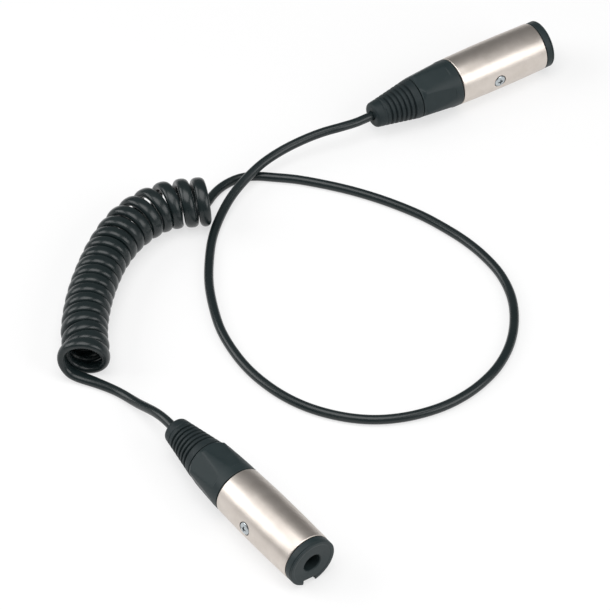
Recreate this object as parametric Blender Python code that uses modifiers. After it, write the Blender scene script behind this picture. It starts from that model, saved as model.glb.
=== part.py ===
"""Curled audio cord with an in-line 6.35 mm jack socket on each end.

Both sockets are the same assembly: a plated metal shell, a black moulded insert with three
contact springs, a side screw that locks the two, a screwed boot nut with its rubber tail, and
a slotted chuck that grips the cord. The cord runs from socket A through a curled stretch,
along one open loop on the table, and into socket B.

Metres, +Z up, the table at z = 0. Along a socket, s runs from the rear of the shell (s = 0)
towards the face that the plug enters; behind the shell, s is negative.
"""
import math

import bmesh
import bpy
import numpy as np
from mathutils import Matrix, Vector

MM = 0.001
COLLECTION = "curled_jack_cord"

# ---- gaps between neighbours -------------------------------------------------------------
FIT = 0.3 * MM                  # side gap between pieces that sit in each other
JOINT_LINE = 0.3 * MM           # open line between two faces that meet

# ---- where the two sockets lie -----------------------------------------------------------
SOCKET_A_X = -109.25 * MM
SOCKET_A_Y = -40.07 * MM
SOCKET_A_AZIMUTH = -90.0        # degrees; the way that the open face looks
SOCKET_A_ROLL = -9.0            # degrees about its axis, from its left over its top
SOCKET_B_X = 77.22 * MM
SOCKET_B_Y = 71.41 * MM
SOCKET_B_AZIMUTH = -6.4
SOCKET_B_ROLL = 0.0

# ---- shell -------------------------------------------------------------------------------
SHELL_LENGTH = 37.2 * MM
SHELL_RADIUS = 9.5 * MM         # at its belly, which rests on the table
SHELL_REAR_RADIUS = 9.2 * MM
SHELL_FRONT_RADIUS = 9.3 * MM
SHELL_BELLY_START = 12.0 * MM
SHELL_BELLY_LENGTH = 12.0 * MM
SHELL_WALL = 1.5 * MM
SHELL_CHAMFER = 0.4 * MM
THREAD_WALL = 1.4 * MM          # rear wall, outside the nut's thread
THREAD_LENGTH = 4.5 * MM        # three turns of a 1.5 mm thread
THREAD_RELIEF = 2.5 * MM
AXIS_HEIGHT = SHELL_RADIUS

# ---- insert ------------------------------------------------------------------------------
FLANGE_THICKNESS = 3.0 * MM
FLANGE_RADIUS = 9.15 * MM
FLANGE_EDGE = 0.35 * MM
FLANGE_EDGE_MIDDLE = 0.1 * MM    # how far the edge's middle lies inside both its sides
FLANGE_LINE_FROM_FACE = 0.7 * MM
FLANGE_LINE_WIDTH = 0.36 * MM
FLANGE_LINE_DEPTH = 0.26 * MM
BORE_RADIUS = 3.4 * MM          # for a 6.35 mm plug
BORE_DEPTH = 31.3 * MM
BORE_LEAD_IN = 0.35 * MM
INSERT_REAR_WALL = 1.2 * MM
KEYWAY_WIDTH = 5.3 * MM
KEYWAY_DEPTH = 2.2 * MM

# ---- contact springs ---------------------------------------------------------------------
STRIP_THICKNESS = 0.35 * MM
STRIP_WIDTH = 2.4 * MM
SOLDER_LUG_LENGTH = 3.0 * MM
STRIP_ROOT_RADIUS = 4.2 * MM    # distance from the socket's axis where it leaves the rear wall
STRIP_ARM_RADIUS = 5.0 * MM
CONTACT_RADIUS = 2.85 * MM
CONTACT_RISE = 2.4 * MM         # length of the slope down to the contact
STRIP_KNEE = 0.5 * MM           # length of the bend from the root out to the arm
STRIP_TOE = 1.1 * MM
TOE_RISE = 0.66 * MM
CONTACT_FLAT = 0.55 * MM
SLOT_WALL = 1.3 * MM            # left of the insert's wall outside a slot
SLOT_END_ROOM = 0.8 * MM
TIP_FROM_BORE_END = 4.3 * MM    # room for the tip spring's own arm and slope
TIP_FROM_FACE = BORE_DEPTH - TIP_FROM_BORE_END      # where a plug's tip, ring and sleeve are touched
RING_FROM_FACE = 21.5 * MM
SLEEVE_FROM_FACE = 6.0 * MM

# name, angle from the socket's left over its top, distance of the contact from the face
SPRINGS = [
    ("tip", 90.0, TIP_FROM_FACE),
    ("ring", 0.0, RING_FROM_FACE),
    ("sleeve", -90.0, SLEEVE_FROM_FACE),
]
CORE_COLOURS = {"tip": "red_core", "ring": "white_core", "sleeve": "screen_core"}

# ---- side screw --------------------------------------------------------------------------
SCREW_STATION = 15.6 * MM
SCREW_HEAD_RADIUS = 2.2 * MM
SCREW_HEAD_PROUD_OF_INSERT = 2.2 * MM
SCREW_HEAD_DOME = 0.4 * MM
SCREW_HEAD_EDGE = 0.25 * MM
SCREW_DOME_STEPS = 3
SCREW_SHANK_RADIUS = 1.25 * MM
SCREW_SHANK_LENGTH = 3.0 * MM
RECESS_WIDTH = 0.6 * MM
RECESS_SPAN = 2.6 * MM
RECESS_DEPTH = 0.9 * MM

# ---- boot nut ----------------------------------------------------------------------------
NUT_LENGTH = 17.1 * MM
NUT_REAR_RADIUS = 7.9 * MM
NUT_NECK_RADIUS = 8.0 * MM
NUT_RIDGE_RADIUS = 8.8 * MM
NUT_MIDDLE_RADIUS = 9.05 * MM
NUT_SHOULDER_RADIUS = 9.12 * MM
NUT_FRONT_RADIUS = 9.15 * MM
NUT_NECK = 0.5 * MM             # from the nut's rear face to where the ridges start
NUT_STEP = 1.1 * MM
NUT_MIDDLE = 8.0 * MM           # from the shell
NUT_SHOULDER = 3.6 * MM         # from the shell; the grip flats end here
FLAT_COUNT = 6
FLAT_DEPTH = 0.22 * MM
FLAT_REAR_DEPTH = 0.15 * MM     # at the rear face, where the flats run out
FLAT_RUN_OUT = 0.5 * MM         # of the blocks past the rear face
FLAT_CUTTER_THICKNESS = 3.0 * MM
RIDGE_ANGLE_A = 117.0           # degrees from the socket's left, over its top
RIDGE_ANGLE_B = 133.0
SPIGOT_WALL = 1.2 * MM
HUB_LENGTH = 5.9 * MM
HUB_RADIUS = 4.3 * MM
HUB_BORE_RADIUS = 2.6 * MM

# ---- boot tail ---------------------------------------------------------------------------
TAIL_LENGTH = 18.5 * MM
TAIL_FRONT_RADIUS = 7.87 * MM
TAIL_REAR_RADIUS = 4.68 * MM
TAIL_ROUND = 1.3 * MM
TAIL_ROUND_STEPS = 3
TAIL_BORE_RADIUS = 2.1 * MM
GROOVE_COUNT = 6
GROOVE_PITCH = 1.86 * MM
GROOVE_WIDTH = 0.95 * MM
GROOVE_DEPTH = 0.8 * MM
FIRST_GROOVE = 3.2 * MM         # from the tail's front face
FAINT_GROOVE = 14.4 * MM        # from the tail's front face
FAINT_GROOVE_DEPTH = 0.25 * MM

# ---- chuck -------------------------------------------------------------------------------
CHUCK_BORE_RADIUS = 2.0 * MM
CHUCK_REAR = 12.5 * MM          # behind the shell's rear
CHUCK_TUBE_START = 2.0 * MM     # behind the shell's rear
CHUCK_REAR_RADIUS = 3.9 * MM
CHUCK_TUBE_WALL = 0.8 * MM
CHUCK_SHOULDER = 1.5 * MM
CHUCK_SLOTS = 4
CHUCK_SLOT_WIDTH = 0.8 * MM
CHUCK_SLOT_LENGTH = 8.0 * MM

# ---- cord --------------------------------------------------------------------------------
CORD_DIAMETER = 3.4 * MM
CORD_INSIDE_BOOT = 5.3 * MM     # the free cord's end, inside the boot's tail
CORD_STRIPPED = 2.0 * MM        # the jacket ends this far behind the shell's rear
CORE_DIAMETER = 0.9 * MM
CORE_START_RADIUS = 0.95 * MM
CORE_POINTS = 7
LEAD_POINT_SPACING = 7.0 * MM
LEAD_END_RUN = 1.0 * MM         # straight, where a lead meets the curled stretch
STRAIGHT_STEPS = 3              # of the straight run in and behind a boot

# ---- curled stretch ----------------------------------------------------------------------
TURNS = 20
TIGHT_PITCH = 4.66 * MM
LOOSE_PITCH = 5.97 * MM
MOUTH_EXTRA_PITCH = 0.8 * MM
FAR_END_CLOSING = 4.5 * MM      # how far the pitch falls by the far end
FAR_END_TURNS = 0.75            # the last part of a turn, in which it falls
TIGHT_RADIUS = 6.68 * MM        # of the cord's centre line
LOOSE_RADIUS = 7.4 * MM
MOUTH_RADIUS = 8.2 * MM
LOOSE_FROM_TURN = 10.0
LOOSE_TO_TURN = 16.0
CURL_POINTS = 9                 # in each turn
COIL_START = 1.9 * MM           # from its axis's first point
TURN_DIRECTION_REACH = 2.5 * MM

# Centre line of the curled stretch seen from above, from its mouth to its far end.
COIL_AXIS_MM = [
    (-117.5, 38.6), (-112.0, 43.7), (-106.4, 52.4), (-97.9, 62.1), (-88.0, 70.9),
    (-76.4, 78.9), (-62.8, 84.5), (-47.5, 84.9), (-32.9, 77.1),
]

# The near lead, from the curled stretch's mouth to socket A's boot.
LEAD_A_MM = [
    (-113.6, 34.5, 1.7), (-112.2, 32.0, 1.7), (-110.9, 29.2, 1.7), (-109.8, 26.2, 1.7),
    (-109.4, 22.2, 2.1), (-109.3, 17.2, 3.6), (-109.2, 11.8, 6.0), (-109.2, 6.6, 8.4),
]

# The long lead, from the curled stretch's far end round the loop to socket B's boot.
LEAD_B_MM = [
    (-28.9, 83.1, 1.7), (-25.3, 84.8, 1.7), (-21.3, 86.0, 1.7), (-17.2, 86.4, 1.7),
    (-13.2, 86.0, 1.7), (-9.6, 84.7, 1.7), (-6.0, 82.2, 1.7), (-2.2, 78.5, 1.7),
    (4.0, 72.1, 1.7), (12.1, 61.3, 1.7),
    (17.0, 53.6, 1.7), (21.3, 45.6, 1.7), (25.1, 37.1, 1.7), (28.3, 28.3, 1.7),
    (30.6, 18.9, 1.7), (32.2, 9.2, 1.7), (32.5, -1.0, 1.7), (31.1, -11.8, 1.7),
    (26.8, -22.8, 1.7), (19.8, -32.4, 1.7), (11.2, -40.0, 1.7), (1.8, -45.1, 1.7),
    (-6.6, -47.6, 1.7), (-15.5, -48.7, 1.7), (-24.6, -48.2, 1.7), (-32.9, -46.2, 1.7),
    (-40.7, -43.0, 1.7), (-47.8, -38.6, 1.7), (-53.8, -33.1, 1.7), (-59.0, -26.4, 1.7),
    (-63.1, -19.1, 1.7), (-66.1, -10.8, 1.7), (-67.8, -1.7, 1.7), (-68.2, 8.0, 1.7),
    (-67.0, 18.2, 1.7), (-64.3, 28.8, 1.7), (-59.7, 39.2, 1.7), (-53.9, 49.4, 1.7),
    (-46.7, 58.8, 1.7), (-38.5, 67.5, 1.8), (-29.7, 74.0, 2.7), (-20.3, 78.6, 4.5),
    (-6.2, 82.4, 6.4), (3.6, 83.0, 7.4), (13.0, 82.0, 8.4), (21.9, 80.0, 9.2),
    (29.0, 77.7, 9.5),
]

SEGMENTS = 32                   # facets round a shell, an insert or a nut
TAIL_SEGMENTS = 28
SMALL_SEGMENTS = 20

# ---- places along a socket, worked out from the sizes above ------------------------------
FLANGE_REAR = SHELL_LENGTH + JOINT_LINE
FACE = FLANGE_REAR + FLANGE_THICKNESS
SHELL_BORE_RADIUS = SHELL_RADIUS - SHELL_WALL
THREAD_RADIUS = SHELL_REAR_RADIUS - THREAD_WALL
INSERT_RADIUS = SHELL_BORE_RADIUS - FIT
BORE_END = FACE - BORE_DEPTH
INSERT_REAR = BORE_END - INSERT_REAR_WALL
STRIP_HINGE = BORE_END - INSERT_REAR_WALL / 2
LUG_END = INSERT_REAR - SOLDER_LUG_LENGTH
SLOT_OUTER_RADIUS = INSERT_RADIUS - SLOT_WALL
NUT_FRONT = -JOINT_LINE
NUT_REAR = -NUT_LENGTH
SPIGOT_RADIUS = THREAD_RADIUS - FIT
SPIGOT_BORE_RADIUS = SPIGOT_RADIUS - SPIGOT_WALL
CHUCK_RADIUS = SPIGOT_BORE_RADIUS - FIT
CHUCK_CONE_FRONT = -CHUCK_TUBE_START - CHUCK_SHOULDER
HUB_END = NUT_REAR - HUB_LENGTH
TAIL_FRONT = NUT_REAR - JOINT_LINE
TAIL_REAR = TAIL_FRONT - TAIL_LENGTH + JOINT_LINE
CHUCK_FRONT = INSERT_REAR - FIT
CORD_JOIN = TAIL_REAR + CORD_INSIDE_BOOT


# ---- scene, materials and placing --------------------------------------------------------
def clear_scene():
    for thing in list(bpy.data.objects):
        bpy.data.objects.remove(thing, do_unlink=True)


def make_collection(name):
    collection = bpy.data.collections.new(name)
    bpy.context.scene.collection.children.link(collection)
    return collection


def make_material(name, colour, roughness, metallic=0.0):
    material = bpy.data.materials.new(name)
    material.use_nodes = True
    shader = material.node_tree.nodes["Principled BSDF"]
    shader.inputs["Base Color"].default_value = (*colour, 1.0)
    shader.inputs["Roughness"].default_value = roughness
    shader.inputs["Metallic"].default_value = metallic
    return material


def make_materials():
    return {
        "satin_nickel": make_material("satin_nickel", (0.66, 0.63, 0.60), 0.32, 1.0),
        "black_plastic": make_material("black_plastic", (0.045, 0.055, 0.058), 0.50),
        "black_rubber": make_material("black_rubber", (0.036, 0.046, 0.048), 0.62),
        "cord_jacket": make_material("cord_jacket", (0.022, 0.030, 0.031), 0.42),
        "spring_bronze": make_material("spring_bronze", (0.72, 0.66, 0.52), 0.28, 1.0),
        "bright_zinc": make_material("bright_zinc", (0.75, 0.76, 0.78), 0.22, 1.0),
        "chuck_nylon": make_material("chuck_nylon", (0.60, 0.59, 0.55), 0.55),
        "red_core": make_material("red_core", (0.50, 0.03, 0.03), 0.45),
        "white_core": make_material("white_core", (0.75, 0.75, 0.72), 0.45),
        "screen_core": make_material("screen_core", (0.60, 0.33, 0.20), 0.35, 1.0),
    }


def make_empty(name, collection, location, rotation=(0.0, 0.0, 0.0), parent=None):
    empty = bpy.data.objects.new(name, None)
    empty.empty_display_size = 5 * MM
    collection.objects.link(empty)
    empty.location = location
    empty.rotation_euler = rotation
    empty.parent = parent
    return empty


def finish(thing, collection, material, parent):
    thing.data.materials.append(material)
    thing.parent = parent
    if thing.name not in collection.objects:
        collection.objects.link(thing)
    return thing


# ---- shapes ------------------------------------------------------------------------------
def turned(name, profile, segments, closed=True):
    """A profile of (radius, s) points turned about s: outside from front to rear, then back."""
    shape = bmesh.new()
    ring = [shape.verts.new((radius, 0.0, s)) for radius, s in profile]
    for first, second in zip(ring, ring[1:]):
        shape.edges.new((first, second))
    if closed:
        shape.edges.new((ring[-1], ring[0]))
    mesh = bpy.data.meshes.new(name)
    shape.to_mesh(mesh)
    shape.free()
    thing = bpy.data.objects.new(name, mesh)
    screw = thing.modifiers.new("turn", "SCREW")
    screw.angle = math.tau
    screw.steps = segments
    screw.render_steps = segments
    screw.use_smooth_shade = True
    screw.use_merge_vertices = True
    screw.merge_threshold = 0.000001
    return thing


def box_into(shape, size, matrix):
    bmesh.ops.create_cube(shape, size=1.0, matrix=matrix @ Matrix.Diagonal((*size, 1.0)))


def mesh_object(name, shape):
    mesh = bpy.data.meshes.new(name)
    shape.to_mesh(mesh)
    shape.free()
    return bpy.data.objects.new(name, mesh)


def cut(thing, cutter, cutters, parent):
    """Cuts the cutter out of the thing; both are set in the parent's frame."""
    cutters.objects.link(cutter)
    cutter.parent = parent
    cutter.display_type = "WIRE"
    cutter.hide_render = True
    difference = thing.modifiers.new("cut_" + cutter.name, "BOOLEAN")
    difference.operation = "DIFFERENCE"
    difference.solver = "EXACT"
    difference.object = cutter


def polar(radius, angle, s):
    """A point in a socket's frame; the angle runs from its left over its top."""
    turn = math.radians(angle)
    return Vector((radius * math.cos(turn), radius * math.sin(turn), s))


def radial_frame(angle, s, radius):
    """X along s, Y away from the axis, Z across, with its origin at (radius, angle, s)."""
    along = Vector((0.0, 0.0, 1.0))
    outward = polar(1.0, angle, 0.0)
    across = along.cross(outward)
    frame = Matrix((along, outward, across)).transposed().to_4x4()
    frame.translation = polar(radius, angle, s)
    return frame


def tube(name, points, diameter, bevel_resolution):
    line = bpy.data.curves.new(name, "CURVE")
    line.dimensions = "3D"
    spline = line.splines.new("POLY")
    spline.points.add(len(points) - 1)
    for point, place in zip(spline.points, points):
        point.co = (*place, 1.0)
    line.bevel_depth = diameter / 2
    line.bevel_resolution = bevel_resolution
    line.use_fill_caps = True
    spline.use_smooth = True
    return bpy.data.objects.new(name, line)


# ---- the pieces of one socket ------------------------------------------------------------
def add_shell(tag, frame, parts, cutters, materials):
    belly_end = SHELL_BELLY_START + SHELL_BELLY_LENGTH
    bore_start = THREAD_LENGTH + THREAD_RELIEF
    profile = [
        (SHELL_FRONT_RADIUS - SHELL_CHAMFER, SHELL_LENGTH),
        (SHELL_FRONT_RADIUS, SHELL_LENGTH - SHELL_CHAMFER),
        (SHELL_RADIUS, belly_end),
        (SHELL_RADIUS, SHELL_BELLY_START),
        (SHELL_REAR_RADIUS, SHELL_CHAMFER),
        (SHELL_REAR_RADIUS - SHELL_CHAMFER, 0.0),
        (THREAD_RADIUS, 0.0),
        (THREAD_RADIUS, bore_start),
        (SHELL_BORE_RADIUS, bore_start + SHELL_CHAMFER),
        (SHELL_BORE_RADIUS, SHELL_LENGTH),
    ]
    shell = turned("shell_" + tag, profile, SEGMENTS)
    hole = bmesh.new()
    across = Matrix.Translation((-SHELL_RADIUS, 0.0, SCREW_STATION))
    reach = 2 * SHELL_WALL
    bmesh.ops.create_cone(
        hole, cap_ends=True, segments=SMALL_SEGMENTS, depth=2 * reach,
        radius1=SCREW_HEAD_RADIUS + FIT, radius2=SCREW_HEAD_RADIUS + FIT,
        matrix=across @ Matrix.Rotation(math.pi / 2, 4, "Y"),
    )
    cut(shell, mesh_object("shell_screw_hole_" + tag, hole), cutters, frame)
    return finish(shell, parts, materials["satin_nickel"], frame)


def add_spring_slots(tag, insert, frame, cutters):
    """Long slots for the three springs, each with a slit through the rear wall."""
    slots = bmesh.new()
    depth = SLOT_OUTER_RADIUS - CONTACT_RADIUS + STRIP_THICKNESS + FIT
    middle = SLOT_OUTER_RADIUS - depth / 2
    slit = STRIP_THICKNESS + 2 * FIT
    width = STRIP_WIDTH + 2 * FIT
    for _, angle, from_face in SPRINGS:
        end = FACE - from_face + STRIP_TOE + SLOT_END_ROOM
        length = end - BORE_END
        box_into(slots, (length, depth, width), radial_frame(angle, BORE_END + length / 2, middle))
        through = INSERT_REAR_WALL + 2 * FIT
        box_into(slots, (through, slit, width), radial_frame(angle, STRIP_HINGE, STRIP_ROOT_RADIUS))
    joined = mesh_object("insert_slots_" + tag, slots)
    cut(insert, joined, cutters, frame)
    insert.modifiers[-1].use_self = True


def add_insert(tag, frame, parts, cutters, materials):
    line_middle = FACE - FLANGE_LINE_FROM_FACE
    profile = [
        (BORE_RADIUS + BORE_LEAD_IN, FACE),
        (FLANGE_RADIUS - FLANGE_EDGE, FACE),
        (FLANGE_RADIUS - FLANGE_EDGE_MIDDLE, FACE - FLANGE_EDGE_MIDDLE),
        (FLANGE_RADIUS, line_middle + FLANGE_LINE_WIDTH / 2),
        (FLANGE_RADIUS - FLANGE_LINE_DEPTH, line_middle),
        (FLANGE_RADIUS, line_middle - FLANGE_LINE_WIDTH / 2),
        (FLANGE_RADIUS, FLANGE_REAR),
        (INSERT_RADIUS, FLANGE_REAR),
        (INSERT_RADIUS, INSERT_REAR),
        (0.0, INSERT_REAR),
    ]
    bore = [(0.0, BORE_END), (BORE_RADIUS, BORE_END), (BORE_RADIUS, FACE - BORE_LEAD_IN)]
    insert = turned("insert_" + tag, bore + profile, SEGMENTS, closed=False)
    keyway = bmesh.new()
    height = 2 * KEYWAY_DEPTH
    place = Matrix.Translation((0.0, KEYWAY_DEPTH - FLANGE_RADIUS - height / 2, FACE))
    box_into(keyway, (KEYWAY_WIDTH, height, 2 * (FLANGE_THICKNESS + JOINT_LINE)), place)
    cut(insert, mesh_object("insert_keyway_" + tag, keyway), cutters, frame)
    screw_hole = bmesh.new()
    depth = SCREW_SHANK_LENGTH + FIT
    place = Matrix.Translation((-INSERT_RADIUS, 0.0, SCREW_STATION))
    bmesh.ops.create_cone(
        screw_hole, cap_ends=True, segments=SMALL_SEGMENTS, depth=2 * depth,
        radius1=SCREW_SHANK_RADIUS + FIT, radius2=SCREW_SHANK_RADIUS + FIT,
        matrix=place @ Matrix.Rotation(math.pi / 2, 4, "Y"),
    )
    cut(insert, mesh_object("insert_screw_hole_" + tag, screw_hole), cutters, frame)
    add_spring_slots(tag, insert, frame, cutters)
    return finish(insert, parts, materials["black_plastic"], frame)


def strip_outline(path, thickness):
    """Both sides of a bent strip of even thickness, with mitred bends."""
    path = [Vector(point) for point in path]
    left, right = [], []
    for i, point in enumerate(path):
        before = (point - path[i - 1]).normalized() if i else None
        after = (path[i + 1] - point).normalized() if i + 1 < len(path) else None
        normals = [Vector((-d.y, d.x)) for d in (before, after) if d is not None]
        middle = sum(normals, Vector((0.0, 0.0))).normalized()
        reach = thickness / 2 / middle.dot(normals[0])
        left.append(point + middle * reach)
        right.append(point - middle * reach)
    return right + left[::-1]


def add_spring(tag, name, angle, from_face, frame, parts, materials):
    """A bent contact strip; its own origin is on the line that it flexes about."""
    contact = FACE - from_face - STRIP_HINGE
    arm = STRIP_ARM_RADIUS - STRIP_ROOT_RADIUS
    touch = CONTACT_RADIUS + STRIP_THICKNESS / 2 - STRIP_ROOT_RADIUS
    wall = BORE_END - STRIP_HINGE
    path = [
        (LUG_END - STRIP_HINGE, 0.0),
        (wall + FIT, 0.0),
        (wall + FIT + STRIP_KNEE, arm),
        (contact - CONTACT_RISE, arm),
        (contact - CONTACT_FLAT / 2, touch),
        (contact + CONTACT_FLAT / 2, touch),
        (contact + STRIP_TOE, touch + TOE_RISE),
    ]
    outline = strip_outline(path, STRIP_THICKNESS)
    line = bpy.data.curves.new(f"{name}_spring_{tag}", "CURVE")
    line.dimensions = "2D"
    line.fill_mode = "BOTH"
    line.extrude = STRIP_WIDTH / 2
    spline = line.splines.new("POLY")
    spline.points.add(len(outline) - 1)
    spline.use_cyclic_u = True
    for point, place in zip(spline.points, outline):
        point.co = (*place, 0.0, 1.0)
    hinge = make_empty(f"{name}_flex_line_{tag}", parts, (0.0, 0.0, 0.0), parent=frame)
    hinge.matrix_local = radial_frame(angle, STRIP_HINGE, STRIP_ROOT_RADIUS)
    spring = bpy.data.objects.new(f"{name}_spring_{tag}", line)
    return finish(spring, parts, materials["spring_bronze"], hinge)


def add_screw(tag, frame, parts, cutters, materials):
    head = SCREW_HEAD_PROUD_OF_INSERT
    profile = []
    for i in range(SCREW_DOME_STEPS + 1):
        share = i / SCREW_DOME_STEPS
        radius = share * (SCREW_HEAD_RADIUS - SCREW_HEAD_EDGE)
        profile.append((radius, head - SCREW_HEAD_DOME * share * share))
    profile += [
        (SCREW_HEAD_RADIUS, head - SCREW_HEAD_DOME - SCREW_HEAD_EDGE),
        (SCREW_HEAD_RADIUS, FIT),
        (SCREW_SHANK_RADIUS, FIT),
        (SCREW_SHANK_RADIUS, -SCREW_SHANK_LENGTH),
        (0.0, -SCREW_SHANK_LENGTH),
    ]
    seat = make_empty(
        "screw_axis_" + tag, parts, (-INSERT_RADIUS, 0.0, SCREW_STATION),
        (0.0, -math.pi / 2, 0.0), frame,
    )
    screw = turned("screw_" + tag, profile, SMALL_SEGMENTS, closed=False)
    recess = bmesh.new()
    place = Matrix.Translation((0.0, 0.0, head))
    box_into(recess, (RECESS_SPAN, RECESS_WIDTH, 2 * RECESS_DEPTH), place)
    crossing = mesh_object("screw_recess_" + tag, recess)
    cut(screw, crossing, cutters, seat)
    other = bmesh.new()
    box_into(other, (RECESS_WIDTH, RECESS_SPAN, 2 * RECESS_DEPTH), place)
    cut(screw, mesh_object("screw_cross_recess_" + tag, other), cutters, seat)
    return finish(screw, parts, materials["bright_zinc"], seat)


def grip_flats(tag, ridge_angle):
    """Six tilted blocks that cut the nut's grip flats and leave a ridge between two of them."""
    blocks = bmesh.new()
    front = -NUT_SHOULDER
    rear = NUT_REAR - FLAT_RUN_OUT
    front_height = NUT_SHOULDER_RADIUS - FLAT_DEPTH
    slope = (front_height - NUT_REAR_RADIUS + FLAT_REAR_DEPTH) / (front - NUT_REAR)
    rear_height = front_height - slope * (front - rear)
    tilt = math.atan(slope)
    length = math.hypot(front_height - rear_height, front - rear)
    width = NUT_FRONT_RADIUS
    middle_s = (front + rear) / 2
    middle_height = (front_height + rear_height) / 2
    raised = Matrix.Translation((0.0, FLAT_CUTTER_THICKNESS / 2, 0.0))
    for i in range(FLAT_COUNT):
        angle = ridge_angle + (i + 0.5) * 360 / FLAT_COUNT
        place = radial_frame(angle, middle_s, middle_height)
        lean = Matrix.Rotation(tilt, 4, "Z") @ raised
        box_into(blocks, (length, FLAT_CUTTER_THICKNESS, width), place @ lean)
    return mesh_object("nut_flats_" + tag, blocks)


def add_boot_nut(tag, ridge_angle, frame, parts, cutters, materials):
    cone_radius = CHUCK_REAR_RADIUS + FIT
    cone_rear = -CHUCK_REAR - FIT
    ridge_start = NUT_REAR + NUT_NECK
    profile = [
        (SPIGOT_RADIUS, THREAD_LENGTH),
        (SPIGOT_RADIUS, NUT_FRONT),
        (NUT_FRONT_RADIUS, NUT_FRONT),
        (NUT_SHOULDER_RADIUS, -NUT_SHOULDER),
        (NUT_MIDDLE_RADIUS, -NUT_MIDDLE),
        (NUT_RIDGE_RADIUS, ridge_start + NUT_STEP),
        (NUT_NECK_RADIUS, ridge_start),
        (NUT_REAR_RADIUS, NUT_REAR),
        (HUB_RADIUS, NUT_REAR),
        (HUB_RADIUS, HUB_END),
        (HUB_BORE_RADIUS, HUB_END),
        (HUB_BORE_RADIUS, cone_rear - (cone_radius - HUB_BORE_RADIUS)),
        (cone_radius, cone_rear),
        (SPIGOT_BORE_RADIUS, CHUCK_CONE_FRONT),
        (SPIGOT_BORE_RADIUS, THREAD_LENGTH),
    ]
    nut = turned("boot_nut_" + tag, profile, SEGMENTS)
    cut(nut, grip_flats(tag, ridge_angle), cutters, frame)
    return finish(nut, parts, materials["black_plastic"], frame)


def tail_radius(back):
    """The tail's outer radius at a distance behind its front face."""
    share = back / (TAIL_LENGTH - JOINT_LINE)
    return TAIL_FRONT_RADIUS + (TAIL_REAR_RADIUS - TAIL_FRONT_RADIUS) * share


def groove_points(back, depth):
    """Down one side of a groove and up the other, from front to rear."""
    half = GROOVE_WIDTH / 2
    return [
        (tail_radius(back - half), TAIL_FRONT - back + half),
        (tail_radius(back) - depth, TAIL_FRONT - back),
        (tail_radius(back + half), TAIL_FRONT - back - half),
    ]


def add_boot_tail(tag, frame, parts, cutters, materials):
    outside = [(TAIL_FRONT_RADIUS, TAIL_FRONT)]
    for i in range(GROOVE_COUNT):
        outside += groove_points(FIRST_GROOVE + i * GROOVE_PITCH, GROOVE_DEPTH)
    outside += groove_points(FAINT_GROOVE, FAINT_GROOVE_DEPTH)
    length = TAIL_LENGTH - JOINT_LINE
    round_start = TAIL_REAR_RADIUS - TAIL_ROUND
    for i in range(TAIL_ROUND_STEPS + 1):
        lean = math.pi / 2 * i / TAIL_ROUND_STEPS
        radius = round_start + TAIL_ROUND * math.cos(lean)
        outside.append((radius, TAIL_FRONT - length + TAIL_ROUND * (1 - math.sin(lean))))
    counterbore = HUB_RADIUS + FIT
    inside = [
        (TAIL_BORE_RADIUS, TAIL_REAR),
        (TAIL_BORE_RADIUS, HUB_END - JOINT_LINE),
        (counterbore, HUB_END - JOINT_LINE),
        (counterbore, TAIL_FRONT),
    ]
    tail = turned("boot_tail_" + tag, outside + inside, TAIL_SEGMENTS)
    return finish(tail, parts, materials["black_rubber"], frame)


def add_chuck(tag, frame, parts, cutters, materials):
    profile = [
        (CHUCK_RADIUS, CHUCK_FRONT),
        (CHUCK_RADIUS, CHUCK_CONE_FRONT),
        (CHUCK_REAR_RADIUS, -CHUCK_REAR),
        (CHUCK_BORE_RADIUS, -CHUCK_REAR),
        (CHUCK_BORE_RADIUS, -CHUCK_TUBE_START - CHUCK_TUBE_WALL),
        (CHUCK_RADIUS - CHUCK_TUBE_WALL, -CHUCK_TUBE_START),
        (CHUCK_RADIUS - CHUCK_TUBE_WALL, CHUCK_FRONT),
    ]
    chuck = turned("chuck_" + tag, profile, SMALL_SEGMENTS)
    middle = -CHUCK_REAR + CHUCK_SLOT_LENGTH / 2 - FIT
    for i in range(CHUCK_SLOTS // 2):
        slot = bmesh.new()
        turn = Matrix.Rotation(math.pi / 4 + i * math.tau / CHUCK_SLOTS, 4, "Z")
        box_into(slot, (4 * CHUCK_RADIUS, CHUCK_SLOT_WIDTH, CHUCK_SLOT_LENGTH),
                 Matrix.Translation((0.0, 0.0, middle)) @ turn)
        cut(chuck, mesh_object(f"chuck_slot_{i + 1}_{tag}", slot), cutters, frame)
    return finish(chuck, parts, materials["chuck_nylon"], frame)


def add_cord_end(tag, frame, parts, materials):
    """The jacketed end of the cord that the chuck and the boot hold."""
    points = [(0.0, 0.0, -CORD_STRIPPED), (0.0, 0.0, CORD_JOIN)]
    held = tube("cord_end_" + tag, points, CORD_DIAMETER, 2)
    return finish(held, parts, materials["cord_jacket"], frame)


def add_core(tag, name, colour, angle, frame, parts, materials):
    """One wire of the cord, from the jacket's end to its spring's solder lug."""
    start = -CORD_STRIPPED + FIT
    end = LUG_END - FIT
    points = []
    for i in range(CORE_POINTS):
        share = i / (CORE_POINTS - 1)
        ease = share * share * (3 - 2 * share)
        radius = CORE_START_RADIUS + (STRIP_ROOT_RADIUS - CORE_START_RADIUS) * ease
        points.append(polar(radius, angle, start + (end - start) * share))
    core = tube(f"{name}_core_{tag}", points, CORE_DIAMETER, 1)
    return finish(core, parts, materials[colour], frame)


def socket_turn(azimuth, roll):
    """Turns Z along s, Y up and X to the socket's left, then rolls all about s."""
    turn = Matrix.Rotation(math.radians(azimuth + 90.0), 3, "Z")
    turn = turn @ Matrix.Rotation(math.pi / 2, 3, "X")
    return (turn @ Matrix.Rotation(math.radians(roll), 3, "Z")).to_euler()


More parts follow.
